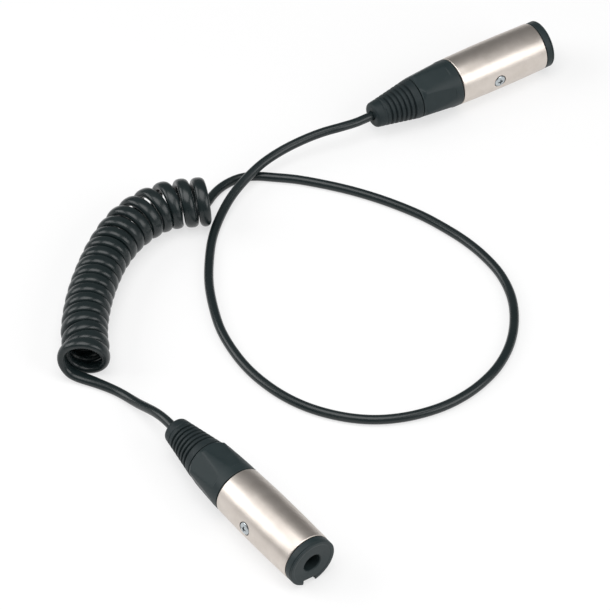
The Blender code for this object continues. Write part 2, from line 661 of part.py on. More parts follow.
def add_socket(tag, x, y, turn, ridge_angle, parts, cutters, materials):
    """One in-line socket, built in its own frame."""
    frame = make_empty("socket_frame_" + tag, parts, (x, y, AXIS_HEIGHT), turn)
    add_shell(tag, frame, parts, cutters, materials)
    add_insert(tag, frame, parts, cutters, materials)
    add_screw(tag, frame, parts, cutters, materials)
    add_boot_nut(tag, ridge_angle, frame, parts, cutters, materials)
    add_boot_tail(tag, frame, parts, cutters, materials)
    add_chuck(tag, frame, parts, cutters, materials)
    add_cord_end(tag, frame, parts, materials)
    for name, angle, from_face in SPRINGS:
        add_spring(tag, name, angle, from_face, frame, parts, materials)
        add_core(tag, name, CORE_COLOURS[name], angle, frame, parts, materials)


# ---- the free cord -----------------------------------------------------------------------
def fine_curve(points, steps=24):
    """A smooth curve through all the points (centripetal Catmull-Rom), finely sampled."""
    places = np.array(points, dtype=float)
    places = np.vstack([2 * places[0] - places[1], places, 2 * places[-1] - places[-2]])
    rows = []
    for a, b, c, d in zip(places, places[1:], places[2:], places[3:]):
        t1 = np.linalg.norm(b - a) ** 0.5
        t2 = t1 + np.linalg.norm(c - b) ** 0.5
        t3 = t2 + np.linalg.norm(d - c) ** 0.5
        for t in np.linspace(t1, t2, steps, endpoint=False):
            ab = a + (b - a) * (t / t1)
            bc = b + (c - b) * ((t - t1) / (t2 - t1))
            cd = c + (d - c) * ((t - t2) / (t3 - t2))
            abc = ab + (bc - ab) * (t / t2)
            bcd = bc + (cd - bc) * ((t - t1) / (t3 - t1))
            rows.append(abc + (bcd - abc) * ((t - t1) / (t2 - t1)))
    rows.append(places[-2])
    return np.array(rows)


def travelled(curve):
    steps = np.linalg.norm(np.diff(curve, axis=0), axis=1)
    return np.concatenate([[0.0], np.cumsum(steps)])


def along(curve, distances):
    """Points of the curve at the given distances, run on straight past both ends."""
    reach = travelled(curve)
    places = np.stack([np.interp(distances, reach, curve[:, i]) for i in range(3)], axis=1)
    first = (curve[1] - curve[0]) / np.linalg.norm(curve[1] - curve[0])
    last = (curve[-1] - curve[-2]) / np.linalg.norm(curve[-1] - curve[-2])
    before = np.minimum(distances, 0.0)[:, None]
    after = np.maximum(distances - reach[-1], 0.0)[:, None]
    return places + before * first + after * last


def coil_line():
    """Centre line of the curled stretch: a right-handed helix that bends along its axis."""
    axis = fine_curve([(x * MM, y * MM, 0.0) for x, y in COIL_AXIS_MM])
    turn = np.arange(TURNS * CURL_POINTS + 1) / CURL_POINTS
    loose = np.clip((turn - LOOSE_FROM_TURN) / (LOOSE_TO_TURN - LOOSE_FROM_TURN), 0.0, 1.0)
    loose = loose * loose * (3 - 2 * loose)
    mouth = np.maximum(0.0, 1.0 - turn)
    closing = np.maximum(0.0, 1.0 - (TURNS - turn) / FAR_END_TURNS)
    pitch = TIGHT_PITCH + (LOOSE_PITCH - TIGHT_PITCH) * loose
    pitch = pitch + 2 * MOUTH_EXTRA_PITCH * mouth - FAR_END_CLOSING * closing
    radius = TIGHT_RADIUS + (LOOSE_RADIUS - TIGHT_RADIUS) * loose
    radius = radius + (MOUTH_RADIUS - TIGHT_RADIUS) * mouth
    steps = (pitch[1:] + pitch[:-1]) / 2 / CURL_POINTS
    travel = COIL_START + np.concatenate([[0.0], np.cumsum(steps)])
    centre = along(axis, travel)
    ahead = along(axis, travel + TURN_DIRECTION_REACH)
    direction = ahead - along(axis, travel - TURN_DIRECTION_REACH)
    direction /= np.linalg.norm(direction, axis=1)[:, None]
    left = np.stack([-direction[:, 1], direction[:, 0], 0 * turn], axis=1)
    swing = math.pi * (1 + 2 * turn)
    line = centre - left * (radius * np.sin(swing))[:, None]
    line[:, 2] = CORD_DIAMETER / 2 + radius * (1 + np.cos(swing))
    return line


def end_directions(line):
    """Which way the curled stretch runs where it starts and where it ends, level."""
    first = line[1] - line[0]
    last = line[-1] - line[-2]
    ends = []
    for direction in (first, last):
        level = np.array([direction[0], direction[1], 0.0])
        ends.append(level / np.linalg.norm(level))
    return ends


def least_gap(line, turn_points):
    """Least open space between the cord and itself, over stretches a half turn apart."""
    fine = np.concatenate([
        line[:-1] + (line[1:] - line[:-1]) * share for share in (0.0, 0.25, 0.5, 0.75)
    ])
    order = np.concatenate([np.arange(len(line) - 1) + share for share in (0.0, 0.25, 0.5, 0.75)])
    least = 1.0
    for place, number in zip(fine, order):
        others = fine[np.abs(order - number) > turn_points / 2]
        least = min(least, np.linalg.norm(others - place, axis=1).min())
    return least - CORD_DIAMETER


def add_coil(line, parts, materials):
    """The curled stretch, which ends in straight runs one cord diameter long."""
    first, last = end_directions(line)
    start = line[0] - first * CORD_DIAMETER
    end = line[-1] + last * CORD_DIAMETER
    points = np.vstack([start, line, end])
    print(f"coil: {TURNS} turns, {travelled(points)[-1] / MM:.0f} mm of cord, least gap to "
          f"itself {least_gap(line, CURL_POINTS) / MM:.2f} mm")
    coil = tube("coil", points, CORD_DIAMETER, 1)
    return finish(coil, parts, materials["cord_jacket"], None)


def socket_line(x, y, azimuth, places):
    """World points on a socket's axis at the given s."""
    turn = math.radians(azimuth)
    return [
        (x + s * math.cos(turn), y + s * math.sin(turn), AXIS_HEIGHT) for s in places
    ]


def straight_run():
    """Places inside and just behind a boot where the free cord runs on the socket's axis."""
    start = CORD_JOIN - JOINT_LINE
    end = TAIL_REAR - 2 * CORD_DIAMETER
    return [start + (end - start) * i / STRAIGHT_STEPS for i in range(STRAIGHT_STEPS + 1)]


def add_lead(name, points, parts, materials):
    curve = fine_curve(points)
    length = travelled(curve)[-1]
    count = round((length - 2 * LEAD_END_RUN) / LEAD_POINT_SPACING)
    middle = np.linspace(LEAD_END_RUN, length - LEAD_END_RUN, count + 1)
    places = along(curve, np.concatenate([[0.0], middle, [length]]))
    print(f"{name}: {length / MM:.0f} mm in {len(places)} points")
    lead = tube(name, places, CORD_DIAMETER, 2)
    return finish(lead, parts, materials["cord_jacket"], None)


def add_cord(parts, materials):
    line = coil_line()
    first, last = end_directions(line)
    add_coil(line, parts, materials)
    gap = CORD_DIAMETER + JOINT_LINE
    beside = [line[0] - first * (gap + run) for run in (0.0, LEAD_END_RUN)]
    middle = [(x * MM, y * MM, z * MM) for x, y, z in LEAD_A_MM]
    boot = socket_line(SOCKET_A_X, SOCKET_A_Y, SOCKET_A_AZIMUTH, straight_run())
    add_lead("lead_a", [*beside, *middle, *boot[::-1]], parts, materials)
    beside = [line[-1] + last * (gap + run) for run in (0.0, LEAD_END_RUN)]
    middle = [(x * MM, y * MM, z * MM) for x, y, z in LEAD_B_MM]
    boot = socket_line(SOCKET_B_X, SOCKET_B_Y, SOCKET_B_AZIMUTH, straight_run())
    add_lead("lead_b", [*beside, *middle, *boot[::-1]], parts, materials)


def main():
    clear_scene()
    parts = make_collection(COLLECTION)
    cutters = make_collection("cutters")
    materials = make_materials()
    turn = socket_turn(SOCKET_A_AZIMUTH, SOCKET_A_ROLL)
    add_socket("a", SOCKET_A_X, SOCKET_A_Y, turn, RIDGE_ANGLE_A, parts, cutters, materials)
    turn = socket_turn(SOCKET_B_AZIMUTH, SOCKET_B_ROLL)
    add_socket("b", SOCKET_B_X, SOCKET_B_Y, turn, RIDGE_ANGLE_B, parts, cutters, materials)
    add_cord(parts, materials)


main()
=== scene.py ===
"""The finished look of a curled audio cord with an in-line jack socket on each end.

Metres, +Z up, the table at z = 0. In a socket's own frame Z runs along s, from the rear of the
shell (s = 0) towards the open face, Y is up and X is to its left. Angles round a socket run
from its left over its top.
"""

import math

import bmesh
import bpy
import numpy as np
from mathutils import Matrix, Vector


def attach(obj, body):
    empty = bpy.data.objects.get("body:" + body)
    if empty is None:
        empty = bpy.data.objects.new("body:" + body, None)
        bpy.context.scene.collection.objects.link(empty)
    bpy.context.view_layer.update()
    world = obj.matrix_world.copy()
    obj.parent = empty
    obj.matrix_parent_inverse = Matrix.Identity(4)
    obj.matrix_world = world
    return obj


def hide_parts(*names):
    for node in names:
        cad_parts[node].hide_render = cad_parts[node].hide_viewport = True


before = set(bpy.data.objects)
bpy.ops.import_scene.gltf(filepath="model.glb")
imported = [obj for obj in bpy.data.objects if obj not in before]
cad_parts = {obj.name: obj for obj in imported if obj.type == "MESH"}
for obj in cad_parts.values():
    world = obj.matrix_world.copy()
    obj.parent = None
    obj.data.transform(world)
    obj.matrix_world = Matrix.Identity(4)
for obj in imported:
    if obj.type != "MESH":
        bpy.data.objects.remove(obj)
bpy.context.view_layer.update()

MM = 0.001

# ---- camera ------------------------------------------------------------------------------
CAMERA_PLACE = (-0.5845, -0.6804, 0.9296)
CAMERA_TARGET = (-0.03236, 0.02125, 0.0)
CAMERA_LENS_MM = 213.2
SENSOR_MM = 36.0

# ---- where the two sockets lie -----------------------------------------------------------
AXIS_HEIGHT = 9.5 * MM
# the shell's rear end, which way the face looks, the roll, and where a ridge of the nut lies
SOCKETS = {
    "a": {"place": (-109.25 * MM, -40.07 * MM), "azimuth": -90.0, "roll": -9.0, "ridge": 117.0},
    "b": {"place": (77.22 * MM, 71.41 * MM), "azimuth": -6.4, "roll": 0.0, "ridge": 133.0},
}

# ---- how the meshes are made -------------------------------------------------------------
TURN_STEPS = 128                # facets round a turned piece
SMALL_TURN_STEPS = 48
COARSE_ARC = 4                  # steps in a fillet
MIDDLE_ARC = 5
FINE_ARC = 6
STRAIGHT_HALF_ANGLE = 89.5      # half a corner's angle, in degrees, that counts as no corner
FILLET_REACH = 0.48             # of a side that one fillet may take up
ON_AXIS = 1e-7
SHARP_ANGLE = 40.0              # between faces, in degrees, that shows as an edge
SCREW_SHARP_ANGLE = 30.0
BOOT_SHARP_ANGLE = 50.0
CORD_SHARP_ANGLE = 60.0

# ---- shell -------------------------------------------------------------------------------
SHELL_LENGTH = 37.2 * MM
SHELL_RADIUS = 9.5 * MM
SHELL_REAR_RADIUS = 9.2 * MM
SHELL_FRONT_RADIUS = 9.3 * MM
SHELL_BELLY_START = 12.0 * MM
SHELL_BELLY_END = 24.0 * MM
SHELL_WALL = 1.5 * MM
SHELL_EDGE = 0.35 * MM
SHELL_BELLY_ROUND = 60.0 * MM
SHELL_MOUTH_EDGE = 0.1 * MM
THREAD_RADIUS = 7.8 * MM
THREAD_MOUTH_EDGE = 0.15 * MM
THREAD_LENGTH = 4.5 * MM
THREAD_RELIEF = 2.5 * MM
THREAD_PITCH = 1.5 * MM
THREAD_DEPTH = 0.45 * MM
THREAD_CREST = 1.6              # height at a ridge's middle, in depths, which is cut off at 1
THREAD_FLANK = 4.4              # depths that a flank would fall in one pitch
THREAD_ROWS = 0.1 * MM          # spacing of the mesh's rows along the thread
THREAD_FADE = 0.5 * MM          # over which the thread runs out at the spigot's end

# ---- insert ------------------------------------------------------------------------------
FLANGE_REAR = 37.5 * MM
FACE = 40.5 * MM
FLANGE_RADIUS = 9.15 * MM
FLANGE_EDGE = 0.4 * MM
FLANGE_LINE = 0.7 * MM          # from the face
FLANGE_LINE_WIDTH = 0.4 * MM
FLANGE_LINE_DEPTH = 0.28 * MM
FLANGE_LINE_EDGE = 0.08 * MM
FLANGE_LINE_FLOOR = 0.05 * MM
FLANGE_REAR_EDGE = 0.12 * MM
FACE_DISH = 0.12 * MM
DISH_EDGE = 1.6 * MM            # from the flange's outside, where the rim starts to rise
DISH_EDGE_ROUND = 0.5 * MM
RIM_EDGE = 1.2 * MM             # from the flange's outside, where the rim has risen
RIM_EDGE_ROUND = 0.3 * MM
INSERT_RADIUS = 7.7 * MM
INSERT_REAR_EDGE = 0.3 * MM
BORE_RADIUS = 3.4 * MM
BORE_LEAD_IN = 0.35 * MM
BORE_MOUTH_EDGE = 0.05 * MM
BORE_END = 9.2 * MM
INSERT_REAR = 8.0 * MM
KEYWAY_WIDTH = 5.3 * MM
KEYWAY_DEPTH = 2.2 * MM

# ---- contact springs, which stay as they are in the frame ---------------------------------
STRIP_WIDTH = 2.4 * MM
STRIP_THICKNESS = 0.35 * MM
STRIP_ROOT_RADIUS = 4.2 * MM
CONTACT_RADIUS = 2.85 * MM
SLOT_OUTER_RADIUS = 6.4 * MM
SLOT_PAST_CONTACT = 1.9 * MM
CLEARANCE = 0.3 * MM
# angle round the socket: how deep in the bore the spring there touches a plug
SPRING_CONTACTS = {90.0: 27.0 * MM, 0.0: 21.5 * MM, -90.0: 6.0 * MM}

# ---- side screw --------------------------------------------------------------------------
SCREW_STATION = 15.6 * MM
SCREW_HEAD_RADIUS = 2.2 * MM
SCREW_HEAD_TOP = 9.9 * MM       # from the socket's axis
SCREW_HEAD_DOME = 0.4 * MM
SCREW_DOME_STEPS = 8
SCREW_HEAD_EDGE = 0.12 * MM     # width of the edge round the dome
SCREW_HEAD_DROP = 0.14 * MM     # and its height
SCREW_SHANK_RADIUS = 1.25 * MM
SCREW_SHANK_END = 4.7 * MM      # from the socket's axis
RECESS_WIDTH = 0.6 * MM
RECESS_SPAN = 2.6 * MM
RECESS_DEPTH = 0.9 * MM
RECESS_SPAN_LEFT = 0.7          # of the span at the recess's bottom
RECESS_WIDTH_LEFT = 0.75

# ---- boot nut ----------------------------------------------------------------------------
NUT_FRONT = -0.3 * MM
NUT_SHOULDER = -3.6 * MM
NUT_MIDDLE = -8.0 * MM
NUT_STEP_TOP = -15.5 * MM
NUT_STEP_FOOT = -16.6 * MM
NUT_REAR = -17.1 * MM
NUT_FRONT_RADIUS = 9.15 * MM
NUT_SHOULDER_RADIUS = 9.12 * MM
NUT_MIDDLE_RADIUS = 9.05 * MM
NUT_RIDGE_RADIUS = 8.8 * MM
NUT_NECK_RADIUS = 8.0 * MM
NUT_REAR_RADIUS = 7.9 * MM
NUT_FRONT_EDGE = 0.25 * MM
NUT_SHOULDER_ROUND = 8.0 * MM
NUT_MIDDLE_ROUND = 30.0 * MM
NUT_STEP_ROUND = 0.5 * MM
NUT_REAR_EDGE = 0.2 * MM
NUT_ROWS = 0.3 * MM             # spacing of the mesh's rows along the nut
NUT_FINE_ROWS = 0.08 * MM       # and in front of the flats
FLAT_COUNT = 6
FLAT_FRONT_HEIGHT = 8.9 * MM    # from the axis, at the shoulder
FLAT_REAR_HEIGHT = 7.75 * MM    # at the nut's rear face, where the flats run out
FLAT_BLEND = 0.1 * MM           # softness of the edges between a flat and its ridges
FLAT_END_SLOPE = 1.0            # of the ramp at a flat's front end
FLAT_INNER_RADIUS = 7.6 * MM    # inside which the flats cut nothing
SPIGOT_RADIUS = 7.5 * MM
SPIGOT_MIDDLE_RADIUS = 6.8 * MM     # outside which a row belongs to the thread
SPIGOT_BORE_RADIUS = 6.3 * MM
HUB_RADIUS = 4.3 * MM
HUB_END = -23.0 * MM
HUB_BORE_RADIUS = 2.6 * MM
CONE_FRONT = -3.5 * MM
CONE_REAR = -12.8 * MM
CONE_REAR_RADIUS = 4.2 * MM

# ---- boot tail ---------------------------------------------------------------------------
TAIL_FRONT = -17.4 * MM
TAIL_REAR = -35.6 * MM
TAIL_FRONT_RADIUS = 7.87 * MM
TAIL_REAR_RADIUS = 4.68 * MM
TAIL_FRONT_EDGE = 0.2 * MM
TAIL_ROUND = 1.3 * MM
TAIL_BORE_RADIUS = 2.1 * MM
TAIL_LIP_RADIUS = 1.78 * MM     # grips the cord
TAIL_LIP_LENGTH = 1.2 * MM
TAIL_LIP_EDGE = 0.25 * MM
GROOVE_COUNT = 6
GROOVE_PITCH = 1.86 * MM
GROOVE_WIDTH = 0.98 * MM
GROOVE_DEPTH = 0.85 * MM
GROOVE_FLOOR = 0.45             # of its width
GROOVE_LIP_ROUND = 0.16 * MM
GROOVE_FLOOR_ROUND = 0.18 * MM
FIRST_GROOVE = 3.2 * MM         # behind the tail's front
FAINT_GROOVE = 14.4 * MM
FAINT_GROOVE_DEPTH = 0.2 * MM

# ---- cord --------------------------------------------------------------------------------
CORD_DIAMETER = 3.4 * MM
CORD_START = -30.6 * MM         # s of the free cord's ends, inside the boots' tails
CORD_SIDES = 28
CORD_RING_SPACING = 0.9 * MM
CURVE_STEPS = 24                # samples between two points of a lead
SAME_PLACE = 1e-7               # points closer than this along the cord are one
STRAIGHT_ON = 1e-12             # square of a turn that is too small to follow
ROUTE_SMOOTHING = 0.7 * MM      # width of the bell curve that evens out the whole line
SMOOTHING_REACH = 3             # widths that the bell curve reaches each way
CURL_WIDTH = 4.6 * MM           # the jacket is pressed wider along the curled stretch's axis
CURL_THICKNESS = 3.0 * MM       # and thinner across it
CURL_TOUCH = 0.04 * MM
CURL_SQUARENESS = 2.35          # exponent of the pressed outline; 2 is an ellipse
PRESS_BEFORE = 14.0 * MM        # how far ahead of the curls the pressing starts
PRESS_LENGTH = 18.0 * MM        # how long it takes to reach its full depth
PRESS_CLOSE = 15.0 * MM         # and to fade at the far end
HALF_TURN = 20.0 * MM           # of cord; places further apart along it can be neighbours
EASE_FROM = 6.0 * MM            # the near lead is eased from here on, so that it has no kinks
EASE_PAST_START = 5.0 * MM      # and this far into the curls
EASE_RAMP = 9.0 * MM            # over which the easing grows and fades
EASE_RATE = 0.6                 # of the way to the middle of a point's neighbours, in each pass
EASE_PASSES = 32
LEAD_END_RUN = 1.0 * MM
JOINT_LINE = 0.3 * MM
STRAIGHT_STEPS = 3

# ---- curled stretch ----------------------------------------------------------------------
TURNS = 20
TIGHT_PITCH = 4.66 * MM
LOOSE_PITCH = 5.97 * MM
MOUTH_EXTRA_PITCH = 1.6 * MM    # at the very start, and gone after one turn
FAR_END_CLOSING = 4.5 * MM
FAR_END_TURNS = 0.75
TIGHT_RADIUS = 6.68 * MM
LOOSE_RADIUS = 7.4 * MM
MOUTH_RADIUS = 8.2 * MM
LOOSE_FROM_TURN = 10.0
LOOSE_TO_TURN = 16.0
CURL_STEPS = 45                 # samples in each turn
COIL_START = 1.9 * MM           # along the axis below
TURN_DIRECTION_REACH = 2.5 * MM     # each way, to find which way the axis runs

COIL_AXIS_MM = [
    (-117.5, 38.6), (-112.0, 43.7), (-106.4, 52.4), (-97.9, 62.1), (-88.0, 70.9),
    (-76.4, 78.9), (-62.8, 84.5), (-47.5, 84.9), (-32.9, 77.1),
]
LEAD_A_MM = [
    (-113.6, 34.5, 1.7), (-112.2, 32.0, 1.7), (-110.9, 29.2, 1.7), (-109.8, 26.2, 1.7),
    (-109.4, 22.2, 2.1), (-109.3, 17.2, 3.6), (-109.2, 11.8, 6.0), (-109.2, 6.6, 8.4),
]
LEAD_B_MM = [
    (-28.9, 83.1, 1.7), (-25.3, 84.8, 1.7), (-21.3, 86.0, 1.7), (-17.2, 86.4, 1.7),
    (-13.2, 86.0, 1.7), (-9.6, 84.7, 1.7), (-6.0, 82.2, 1.7), (-2.2, 78.5, 1.7),
    (4.0, 72.1, 1.7), (12.1, 61.3, 1.7),
    (17.0, 53.6, 1.7), (21.3, 45.6, 1.7), (25.1, 37.1, 1.7), (28.3, 28.3, 1.7),
    (30.6, 18.9, 1.7), (32.2, 9.2, 1.7), (32.5, -1.0, 1.7), (31.1, -11.8, 1.7),
    (26.8, -22.8, 1.7), (19.8, -32.4, 1.7), (11.2, -40.0, 1.7), (1.8, -45.1, 1.7),
    (-6.6, -47.6, 1.7), (-15.5, -48.7, 1.7), (-24.6, -48.2, 1.7), (-32.9, -46.2, 1.7),
    (-40.7, -43.0, 1.7), (-47.8, -38.6, 1.7), (-53.8, -33.1, 1.7), (-59.0, -26.4, 1.7),
    (-63.1, -19.1, 1.7), (-66.1, -10.8, 1.7), (-67.8, -1.7, 1.7), (-68.2, 8.0, 1.7),
    (-67.0, 18.2, 1.7), (-64.3, 28.8, 1.7), (-59.7, 39.2, 1.7), (-53.9, 49.4, 1.7),
    (-46.7, 58.8, 1.7), (-38.5, 67.5, 1.8), (-29.7, 74.0, 2.7), (-20.3, 78.6, 4.5),
    (-6.2, 82.4, 6.4), (3.6, 83.0, 7.4), (13.0, 82.0, 8.4), (21.9, 80.0, 9.2),
    (29.0, 77.7, 9.5),
]

# ---- materials ---------------------------------------------------------------------------
# slot: dark and light colour, lowest and highest roughness, grain per metre and its strength
METALS = {
    "satin_nickel": ((0.62, 0.565, 0.515), (0.68, 0.625, 0.575), 0.38, 0.43, 5200.0, 0.10),
    "bright_zinc": ((0.40, 0.44, 0.46), (0.52, 0.56, 0.58), 0.22, 0.30, 3000.0, 0.2),
    "spring_bronze": ((0.66, 0.58, 0.42), (0.76, 0.69, 0.54), 0.24, 0.34, 2600.0, 0.2),
    "screen_core": ((0.52, 0.26, 0.15), (0.66, 0.38, 0.25), 0.30, 0.42, 3400.0, 0.6),
}
# slot: the same, and the specular level
POLYMERS = {
    "black_plastic": ((0.014, 0.023, 0.025), (0.018, 0.028, 0.030),
                      0.42, 0.52, 2800.0, 0.25, 0.26),
    "black_rubber": ((0.011, 0.018, 0.020), (0.015, 0.023, 0.025),
                     0.48, 0.58, 2200.0, 0.3, 0.24),
    "cord_jacket": ((0.007, 0.013, 0.014), (0.010, 0.016, 0.017),
                    0.26, 0.29, 1500.0, 0.03, 0.4),
    "chuck_nylon": ((0.55, 0.54, 0.49), (0.64, 0.63, 0.58), 0.48, 0.58, 1800.0, 0.15, 0.5),
    "red_core": ((0.42, 0.02, 0.02), (0.52, 0.035, 0.03), 0.36, 0.46, 1500.0, 0.1, 0.5),
    "white_core": ((0.68, 0.68, 0.65), (0.78, 0.78, 0.75), 0.36, 0.46, 1500.0, 0.1, 0.5),
}
METAL_CLOUDS = (260.0, 3.0)     # features per metre, and detail
METAL_GRAIN_DETAIL = 2.0
METAL_GRAIN_HEIGHT = 0.02 * MM
POLYMER_CLOUDS = (180.0, 4.0)
POLYMER_GRAIN_DETAIL = 3.0
POLYMER_GRAIN_HEIGHT = 0.03 * MM
NOISE_LOW = 0.3                 # a noise mostly stays between these two values
NOISE_HIGH = 0.7

# ---- table and light ---------------------------------------------------------------------
TABLE_REACH = 4.0
TABLE_CELLS = 8
TABLE_COLOUR = (0.86, 0.86, 0.86, 1.0)
TABLE_ROUGHNESS = 0.6
TABLE_SPECULAR = 0.2
TABLE_GLOW = 0.64               # share of plain white that camera, mirrors and glass see
# name, azimuth and elevation of the lamp seen from the object, distance, width, height, power
LAMPS = [
    ("overhead", -150.0, 78.0, 1.2, 1.0, 1.0, 10.6),
    ("left_box", 135.0, 32.0, 1.1, 0.8, 0.7, 6.0),
    ("right_box", -66.0, 32.0, 1.1, 0.8, 0.7, 5.5),
]
WORLD_COLOUR = (1.0, 1.0, 1.0, 1.0)
WORLD_STRENGTH = 0.2


# ---- camera ------------------------------------------------------------------------------
def add_camera():
    data = bpy.data.cameras.new("view")
    data.lens = CAMERA_LENS_MM
    data.sensor_width = SENSOR_MM
    camera = bpy.data.objects.new("view", data)
    bpy.context.scene.collection.objects.link(camera)
    camera.location = CAMERA_PLACE
    look = Vector(CAMERA_TARGET) - Vector(CAMERA_PLACE)
    camera.rotation_euler = look.to_track_quat("-Z", "Y").to_euler()
    bpy.context.scene.camera = camera


# ---- materials ---------------------------------------------------------------------------
def new_material(name):
    material = bpy.data.materials.new(name)
    material.use_nodes = True
    nodes = material.node_tree.nodes
    return material, nodes, material.node_tree.links, nodes["Principled BSDF"]


def noise(nodes, links, scale, detail):
    """A noise texture in the piece's own space, in features per metre."""
    place = nodes.new("ShaderNodeTexCoord")
    texture = nodes.new("ShaderNodeTexNoise")
    texture.inputs["Scale"].default_value = scale
    texture.inputs["Detail"].default_value = detail
    links.new(place.outputs["Object"], texture.inputs["Vector"])
    return texture.outputs["Fac"]


def spread(nodes, links, source, low, high):
    """The noise's values, mapped to run from low to high."""
    span = nodes.new("ShaderNodeMapRange")
    span.inputs["From Min"].default_value = NOISE_LOW
    span.inputs["From Max"].default_value = NOISE_HIGH
    span.inputs["To Min"].default_value = low
    span.inputs["To Max"].default_value = high
    links.new(source, span.inputs["Value"])
    return span.outputs["Result"]


def tint(nodes, links, source, dark, light):
    """The noise's values, as colours from dark to light."""
    ramp = nodes.new("ShaderNodeValToRGB")
    first, last = ramp.color_ramp.elements
    first.position, first.color = NOISE_LOW, (*dark, 1.0)
    last.position, last.color = NOISE_HIGH, (*light, 1.0)
    links.new(source, ramp.inputs["Fac"])
    return ramp.outputs["Color"]


def bump(nodes, links, shader, grain, strength, height):
    node = nodes.new("ShaderNodeBump")
    node.inputs["Strength"].default_value = strength
    node.inputs["Distance"].default_value = height
    links.new(grain, node.inputs["Height"])
    links.new(node.outputs["Normal"], shader.inputs["Normal"])


def metal(name, dark, light, rough_low, rough_high, grain_scale, grain_strength):
    material, nodes, links, shader = new_material(name)
    shader.inputs["Metallic"].default_value = 1.0
    clouds = noise(nodes, links, *METAL_CLOUDS)
    grain = noise(nodes, links, grain_scale, METAL_GRAIN_DETAIL)
    links.new(tint(nodes, links, clouds, dark, light), shader.inputs["Base Color"])
    links.new(spread(nodes, links, grain, rough_low, rough_high), shader.inputs["Roughness"])
    bump(nodes, links, shader, grain, grain_strength, METAL_GRAIN_HEIGHT)
    return material


def polymer(name, dark, light, rough_low, rough_high, grain_scale, grain_strength, specular):
    material, nodes, links, shader = new_material(name)
    shader.inputs["Specular IOR Level"].default_value = specular
    clouds = noise(nodes, links, *POLYMER_CLOUDS)
    grain = noise(nodes, links, grain_scale, POLYMER_GRAIN_DETAIL)
    links.new(tint(nodes, links, clouds, dark, light), shader.inputs["Base Color"])
    links.new(spread(nodes, links, clouds, rough_low, rough_high), shader.inputs["Roughness"])
    bump(nodes, links, shader, grain, grain_strength, POLYMER_GRAIN_HEIGHT)
    return material


def make_materials():
    made = {slot: metal(slot, *values) for slot, values in METALS.items()}
    made.update({slot: polymer(slot, *values) for slot, values in POLYMERS.items()})
    return made


# ---- mesh helpers ------------------------------------------------------------------------
def rounded(corners, steps):
    """(radius, s, fillet) corners as (radius, s) points, each corner turned into an arc."""
    points = []
    for i, (radius, s, fillet) in enumerate(corners):
        here = Vector((radius, s))
        if fillet == 0 or i in (0, len(corners) - 1):
            points.append(here)
            continue
        back = Vector(corners[i - 1][:2]) - here
        on = Vector(corners[i + 1][:2]) - here
        half = back.angle(on) / 2
        if half > math.radians(STRAIGHT_HALF_ANGLE):
            points.append(here)
            continue
        longest = FILLET_REACH * min(back.length, on.length)
        reach = min(fillet / math.tan(half), longest)
        size = reach * math.tan(half)
        inward = (back.normalized() + on.normalized()).normalized()
        middle = here + inward * size / math.sin(half)
        start = here + back.normalized() * reach - middle
        end = here + on.normalized() * reach - middle
        sweep = start.angle_signed(end)
        for step in range(steps + 1):
            turn = Matrix.Rotation(-sweep * step / steps, 2)
            points.append(middle + turn @ start)
    return [(point.x, point.y) for point in points]


def turned(name, profile, steps, closed, radius_at=None):
    """A turned mesh with its axis on Z; a profile that isn't closed runs from axis to axis."""
    angles = np.arange(steps) * math.tau / steps
    shape = bmesh.new()
    rings = []
    for radius, s in profile:
        if radius < ON_AXIS:
            rings.append([shape.verts.new((0.0, 0.0, s))])
            continue
        radii = np.full(steps, radius) if radius_at is None else radius_at(radius, s, angles)
        rings.append([shape.verts.new((r * math.cos(a), r * math.sin(a), s))
                      for r, a in zip(radii, angles)])
    pairs = list(zip(rings, rings[1:]))
    if closed:
        pairs.append((rings[-1], rings[0]))
    for first, second in pairs:
        for i in range(steps):
            j = (i + 1) % steps
            if len(first) == 1:
                shape.faces.new((first[0], second[i], second[j]))
            elif len(second) == 1:
                shape.faces.new((first[j], first[i], second[0]))
            else:
                shape.faces.new((first[j], first[i], second[i], second[j]))
    return mesh_object(name, shape)


def mesh_object(name, shape):
    bmesh.ops.recalc_face_normals(shape, faces=shape.faces)
    mesh = bpy.data.meshes.new(name)
    shape.to_mesh(mesh)
    shape.free()
    thing = bpy.data.objects.new(name, mesh)
    bpy.context.scene.collection.objects.link(thing)
    return thing


def cut(thing, cutter, overlapping=False):
    """Takes the cutter out of the thing for good."""
    difference = thing.modifiers.new("cut", "BOOLEAN")
    difference.operation = "DIFFERENCE"
    difference.solver = "EXACT"
    difference.use_self = overlapping
    difference.object = cutter
    evaluated = thing.evaluated_get(bpy.context.evaluated_depsgraph_get())
    mesh = bpy.data.meshes.new_from_object(evaluated)
    thing.modifiers.clear()
    thing.data = mesh
    bpy.data.objects.remove(cutter)


def polar(radius, angle, s):
    turn = math.radians(angle)
    return Vector((radius * math.cos(turn), radius * math.sin(turn), s))


def radial_frame(angle, s, radius):
    """X along s, Y away from the axis, Z across, with its origin at (radius, angle, s)."""
    along_axis = Vector((0.0, 0.0, 1.0))
    outward = polar(1.0, angle, 0.0)
    across = along_axis.cross(outward)
    matrix = Matrix((along_axis, outward, across)).transposed().to_4x4()
    matrix.translation = polar(radius, angle, s)
    return matrix


def socket_matrix(tag):
    x, y = SOCKETS[tag]["place"]
    turn = Matrix.Rotation(math.radians(SOCKETS[tag]["azimuth"] + 90.0), 4, "Z")
    turn = turn @ Matrix.Rotation(math.pi / 2, 4, "X")
    turn = turn @ Matrix.Rotation(math.radians(SOCKETS[tag]["roll"]), 4, "Z")
    return Matrix.Translation((x, y, AXIS_HEIGHT)) @ turn


def dress(thing, tag, body, node, slot, materials, sharp=SHARP_ANGLE):
    """Sets a finished piece in its socket, in place of its node."""
    thing.data.transform(socket_matrix(tag))
    thing.data.materials.clear()
    thing.data.materials.append(materials[slot])
    thing.data.shade_smooth()
    thing.data.set_sharp_from_angle(angle=math.radians(sharp))
    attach(thing, body)
    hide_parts(node)


